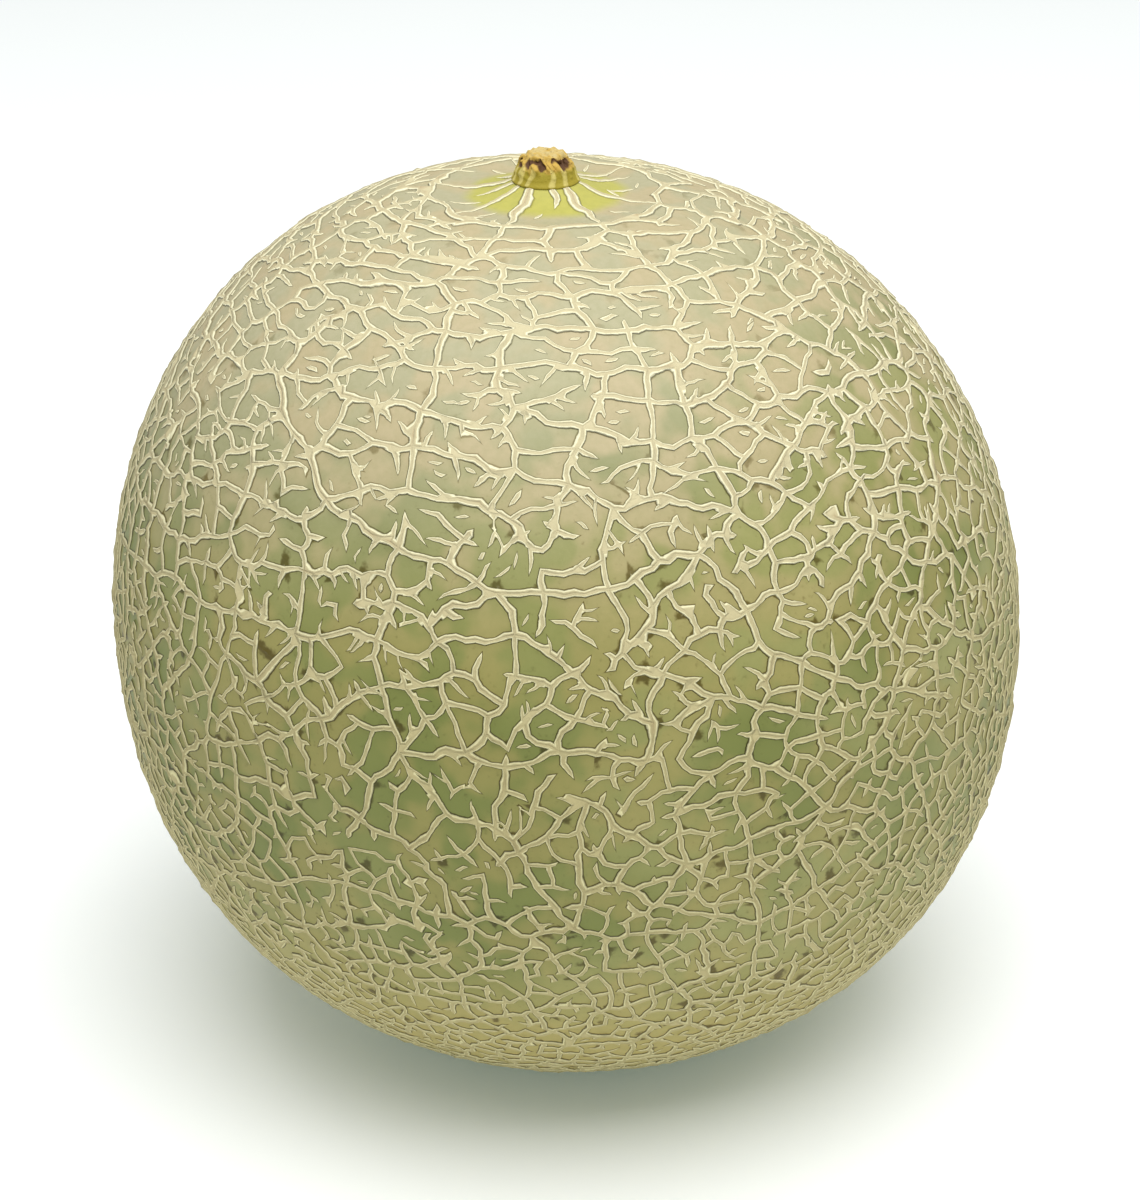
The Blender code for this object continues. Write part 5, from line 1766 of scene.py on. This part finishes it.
# %% [markdown]
# The skin is olive green with slow deep patches and small warm ones. It gets paler and pinker near the
# crown, yellower below, and chartreuse on the cone. Each border between two colours is a smooth step over a
# height or over the way from the stem, and noise makes it uneven.

# %% Skin colours
SKIN_GREEN = screen(150, 149, 91)
SKIN_DEEP = screen(117, 124, 62)
SKIN_WARM = screen(163, 148, 88)
SKIN_PALE = screen(176, 171, 138)
SKIN_ROSY = screen(186, 171, 134)
SKIN_BELOW = screen(171, 157, 93)
SKIN_CONE = screen(182, 178, 90)
SCAR_BROWN = screen(160, 130, 86)
CORK_TAN = screen(193, 180, 141)
SKIN_NOISES = ((26 * MM, 1.0), (9 * MM, 2.0), (1.2 * MM, 3.0))     # size and detail of each
GREEN_RANGE = (0.35, 0.65)
RIGHTWARD_PALING = 0.6                 # how fast the skin gets paler to the right
DEEP_MIDDLE, DEEP_REACH, DEEP_SHARE = (-0.026, -0.064, 0.08), 0.065, 0.8    # deep green patch in front
PATCH_RANGE, WARM_SHARE, ROSY_SHARE = (0.42, 0.6), 0.5, 0.8
PALE_HEIGHTS, ROSY_HEIGHTS, BELOW_HEIGHTS = (102 * MM, 144 * MM), (92 * MM, 130 * MM), (52 * MM, 20 * MM)
PALE_SLANT = 0.2               # how much lower the pale crown reaches on the left
CONE_REACHES, CONE_WAVE = (15.8, 12.6), 4.0    # way from the stem in mm, and how far noise shifts it
SCAR_REACHES, SCAR_WAVE = (221.0, 227.0), 3.0
SCAR_GRAIN = (0.35, 0.65)
MOTTLE_RANGE, MOTTLE_SHARE, MOTTLE_DEPTH = (0.3, 0.7), 0.3, 0.4


def skin_colour(finish, height, reach):
    """Deep to olive green by slow noise, warm patches, the pale and rosy crown, the base, the cone and the
    scar, one over the other, and a fine mottle over them all."""
    slow, patch, fine = (finish.noise(*kind) for kind in SKIN_NOISES)
    side = finish.axis(0)
    colour = finish.mix(finish.step(slow + side * RIGHTWARD_PALING, *GREEN_RANGE), SKIN_DEEP, SKIN_GREEN)
    ends = {0: finish.place, 1: DEEP_MIDDLE}
    away = finish.add("ShaderNodeVectorMath", "Value", ends, operation="DISTANCE")
    scar = finish.mix(finish.step(fine, *SCAR_GRAIN), SCAR_BROWN, CORK_TAN)
    rosy = finish.step(height, *ROSY_HEIGHTS) * finish.step(patch, *PATCH_RANGE)
    for share, over in (
        (finish.step(away, DEEP_REACH, 0.0, 0.0, DEEP_SHARE), SKIN_DEEP),
        (finish.step(patch, *PATCH_RANGE, 0.0, WARM_SHARE), SKIN_WARM),
        (finish.step(height - side * PALE_SLANT, *PALE_HEIGHTS), SKIN_PALE),
        (rosy * ROSY_SHARE, SKIN_ROSY),
        (finish.step(height, *BELOW_HEIGHTS), SKIN_BELOW),
        (finish.step(reach + patch * CONE_WAVE, *CONE_REACHES), SKIN_CONE),
        (finish.step(reach + patch * SCAR_WAVE, *SCAR_REACHES), scar),
    ):
        colour = finish.mix(share, colour, over)
    mottle = finish.step(fine, *MOTTLE_RANGE, 0.0, MOTTLE_SHARE)
    return finish.mix(mottle, colour, finish.mix(MOTTLE_DEPTH, colour, SKIN_DEEP))


print("deep and pale skin in the shader's values", np.round([SKIN_DEEP[:3], SKIN_PALE[:3]], 2).tolist())

# %% [markdown]
# Every rope of cork has two bright edges with a tan middle between them, the more the broader it is, and
# the broadest have a fine crack along it. A thin dark line of painted shade on the skin follows every foot,
# where the rope would cast its contact shadow. The wall of a rope is steeper than the mesh could be with so
# few points, so the shader adds it as relief, with the cork's fibres and the skin's pores.

# %% Rind finish
CORK_BODY = screen(213, 206, 168)
CORK_EDGE = screen(243, 238, 201)
CORK_CRACK = screen(172, 147, 110)
CORK_TINT = (0.79, 0.77, 0.62, 1.0)    # what is left of the cork's red, green and blue lower down
TINT_HEIGHTS = (132 * MM, 74 * MM)
SHADE_LINE_TINT = (0.33, 0.28, 0.11, 1.0)    # the same for the skin under the painted shade line
SHADE_LINE_FADE = (142 * MM, 100 * MM, 0.3, 1.0)     # two heights, and the share of the line at each
GRAIN, GRAIN_BEND = (0.7 * MM, 3.0, 0.65), 0.3         # noise that bends the lines across a rope
RAGGED_NOISE, RAGGED_BEND = (0.9 * MM, 2.0), 0.3       # and the edge of the cork
FIBRES, PORES, PORE_SHARE = (0.45 * MM, 4.0, 0.6), (0.8 * MM, 3.0, 0.5), 0.35
ROUGH_DEPTH = 0.08 * MM
ROUGHNESSES = (0.5, 0.8)               # of skin and of cork

# Where each part of the section begins and is whole, in half widths from the middle line
BRIGHT_ACROSS, TAN_ACROSS, CRACK_ACROSS = (0.48, 0.66), (0.58, 0.4), (0.12, 0.02)
SHADE_LINE_ACROSS, CORK_ACROSS, WALL_ACROSS, FURROW_ACROSS = (1.28, 1.13), (1.02, 0.88), (1.16, 0.68), (0.35, 0.0)
FURROW = 0.15

# The same by the rope's half width in mm; the last two numbers are the least and the greatest value
TAN_BROAD, CRACK_BROAD, WALL_BROAD = (0.4, 0.9, 0.45, 0.75), (0.6, 0.95, 0.0, 0.6), (0.15, 0.8, 0.2, 1.0)


def cork_colour(finish, height, across, broad):
    """Cream with bright edges, then the tan middle and the crack in it, and darker lower down."""
    bent = across + (finish.noise(*GRAIN) - 0.5) * GRAIN_BEND
    colour = finish.mix(finish.step(bent, *BRIGHT_ACROSS), CORK_BODY, CORK_EDGE)
    tan = finish.step(bent, *TAN_ACROSS) * finish.step(broad, *TAN_BROAD)
    colour = finish.mix(tan, colour, CORK_TAN)
    crack = finish.step(bent, *CRACK_ACROSS) * finish.step(broad, *CRACK_BROAD)
    colour = finish.mix(crack, colour, CORK_CRACK)
    return finish.mix(finish.step(height, *TINT_HEIGHTS), colour, CORK_TINT, "MULTIPLY")


def rind_finish():
    """Skin with the painted shade line, and cork on the ropes; the relief is wall less furrow, fibres and
    pores.
    """
    finish = Finish("netted rind", Specular_IOR_Level=0.3)
    across, broad, reach = (finish.attribute(name) for name in ("across", "broad", "reach"))
    height = finish.axis(2)
    edge = across + (finish.noise(*RAGGED_NOISE) - 0.5) * RAGGED_BEND
    # painted shade: the skin darkens in a thin line beside every foot, where the rope's contact shadow falls
    line = finish.step(edge, *SHADE_LINE_ACROSS) * finish.step(height, *SHADE_LINE_FADE)
    skin = finish.mix(line, skin_colour(finish, height, reach), SHADE_LINE_TINT, "MULTIPLY")
    corky = finish.step(edge, *CORK_ACROSS)
    colour = finish.mix(corky, skin, cork_colour(finish, height, across, broad))
    finish.paint(Base_Color=colour, Roughness=finish.step(corky, 0.0, 1.0, *ROUGHNESSES))
    wall = finish.step(edge, *WALL_ACROSS) - finish.step(edge, *FURROW_ACROSS, 0.0, FURROW)
    bumps = finish.noise(*FIBRES) * corky + finish.noise(*PORES) * PORE_SHARE
    finish.relief(wall * finish.step(broad, *WALL_BROAD) * CREST + bumps * ROUGH_DEPTH)
    return finish.material


rind.data.materials.append(rind_finish())
print("rind finish", len(rind.data.materials[0].node_tree.nodes), "nodes")

# %% [markdown]
# The stub is coloured by its height and by how deep a point lies between the strands: olive at its collar,
# gold on the strands, pale on the cut, dark brown in fine specks and as painted shade in the gaps.

# %% Stub finish
STUB_OLIVE = screen(160, 145, 38)
STUB_GOLD = screen(196, 162, 70)
STUB_DARK = screen(84, 52, 18)
STUB_PALE = screen(200, 182, 124)
STUB_RIB = screen(214, 200, 120)
STUB_PATCH, STUB_GRAIN = (1.1 * MM, 3.0), (0.35 * MM, 3.0, 0.6)
LEVEL_BEND, GAP_BEND = 2.4, 0.25       # how much noise is in a level and in a gap

# Where each colour begins and is whole, in mm of level or as a share, and its least and greatest share
GOLD_LEVELS, PALE_LEVELS, RIB_RANGE = (1.6, 2.6), (3.7, 4.7, 0.0, 0.85), (0.25, 0.75, 0.0, 0.7)
GAP_SHADE_RANGE, GAP_SHADE_LEVELS = (0.35, 0.75), (0.9, 1.8)
SPECK_RANGE, SPECK_LEVELS = (0.56, 0.72, 0.0, 0.55), (1.2, 2.0)


def stub_finish():
    """Colours laid one over the other, each by a smooth step of level, rib, gap or grain."""
    finish = Finish("dry stem", Roughness=0.75)
    gap, level, rib = (finish.attribute(name) for name in ("gap", "level", "rib"))
    patch, grain = finish.noise(*STUB_PATCH), finish.noise(*STUB_GRAIN)
    rough_level = level + (patch - 0.5) * LEVEL_BEND
    colour = STUB_OLIVE
    for share, over in (
        (finish.step(rough_level, *GOLD_LEVELS), STUB_GOLD),
        (finish.step(rib, *RIB_RANGE), STUB_RIB),
        (finish.step(rough_level, *PALE_LEVELS), STUB_PALE),
        # painted shade: the gaps between the strands are darkened more the deeper they are
        (finish.step(gap + grain * GAP_BEND, *GAP_SHADE_RANGE) * finish.step(level, *GAP_SHADE_LEVELS), STUB_DARK),
        (finish.step(grain, *SPECK_RANGE) * finish.step(level, *SPECK_LEVELS), STUB_DARK),
    ):
        colour = finish.mix(share, colour, over)
    finish.paint(Base_Color=colour)
    finish.relief(grain, 0.6, 0.15 * MM)
    return finish.material


stub.data.materials.append(stub_finish())
print("stub finish", len(stub.data.materials[0].node_tree.nodes), "nodes")

# %% [markdown]
# ## Floor and light
# The fruit stands on a plain pale floor in soft light from above, a little from the front and the right.

# %% Stage
FLOOR_SIZE = 4.0
FLOOR_GAP = 0.1 * MM
FLOOR_COLOUR = (0.93, 0.93, 0.93, 1.0)
FLOOR_GLOW = (0.085, 0.12, 0.11, 1.0)  # light that a milky sheet lit from below would add
LIGHT_PLACE, LIGHT_SIZE, LIGHT_POWER = (0.08, -0.3, 1.3), 1.3, 21.0
WORLD_COLOUR = (1.0, 1.0, 1.0, 1.0)
WORLD_STRENGTH = 0.42


def make_floor():
    """A square just below the fruit's resting spot."""
    corners = np.array([(-1, -1), (1, -1), (1, 1), (-1, 1)]) * FLOOR_SIZE / 2
    verts = np.column_stack([corners, np.full(4, -FLOOR_GAP)])
    floor = mesh_of("floor", verts, np.array([[0, 1, 2, 3]]), {})
    finish = Finish("pale floor", Base_Color=FLOOR_COLOUR, Roughness=0.9)
    finish.paint(Emission_Color=FLOOR_GLOW, Emission_Strength=1.0)
    floor.data.materials.append(finish.material)
    return floor


def soft_light(name, place, size, power):
    """A square area light that looks at the melon."""
    data = bpy.data.lights.new(name, "AREA")
    data.size, data.energy = size, power
    lamp = bpy.data.objects.new(name, data)
    lamp.location = place
    lamp.rotation_euler = (Vector(place) - Vector((0, 0, REST_DEPTH))).to_track_quat("Z", "Y").to_euler()
    bpy.context.scene.collection.objects.link(lamp)


floor = make_floor()
soft_light("softbox above", LIGHT_PLACE, LIGHT_SIZE, LIGHT_POWER)
world = bpy.data.worlds.new("studio")
world.use_nodes = True
background = world.node_tree.nodes["Background"]
background.inputs["Color"].default_value = WORLD_COLOUR
background.inputs["Strength"].default_value = WORLD_STRENGTH
bpy.context.scene.world = world
bpy.context.scene.view_settings.view_transform = "Standard"
print("floor", FLOOR_SIZE, "m wide, one light of", LIGHT_POWER, "W")
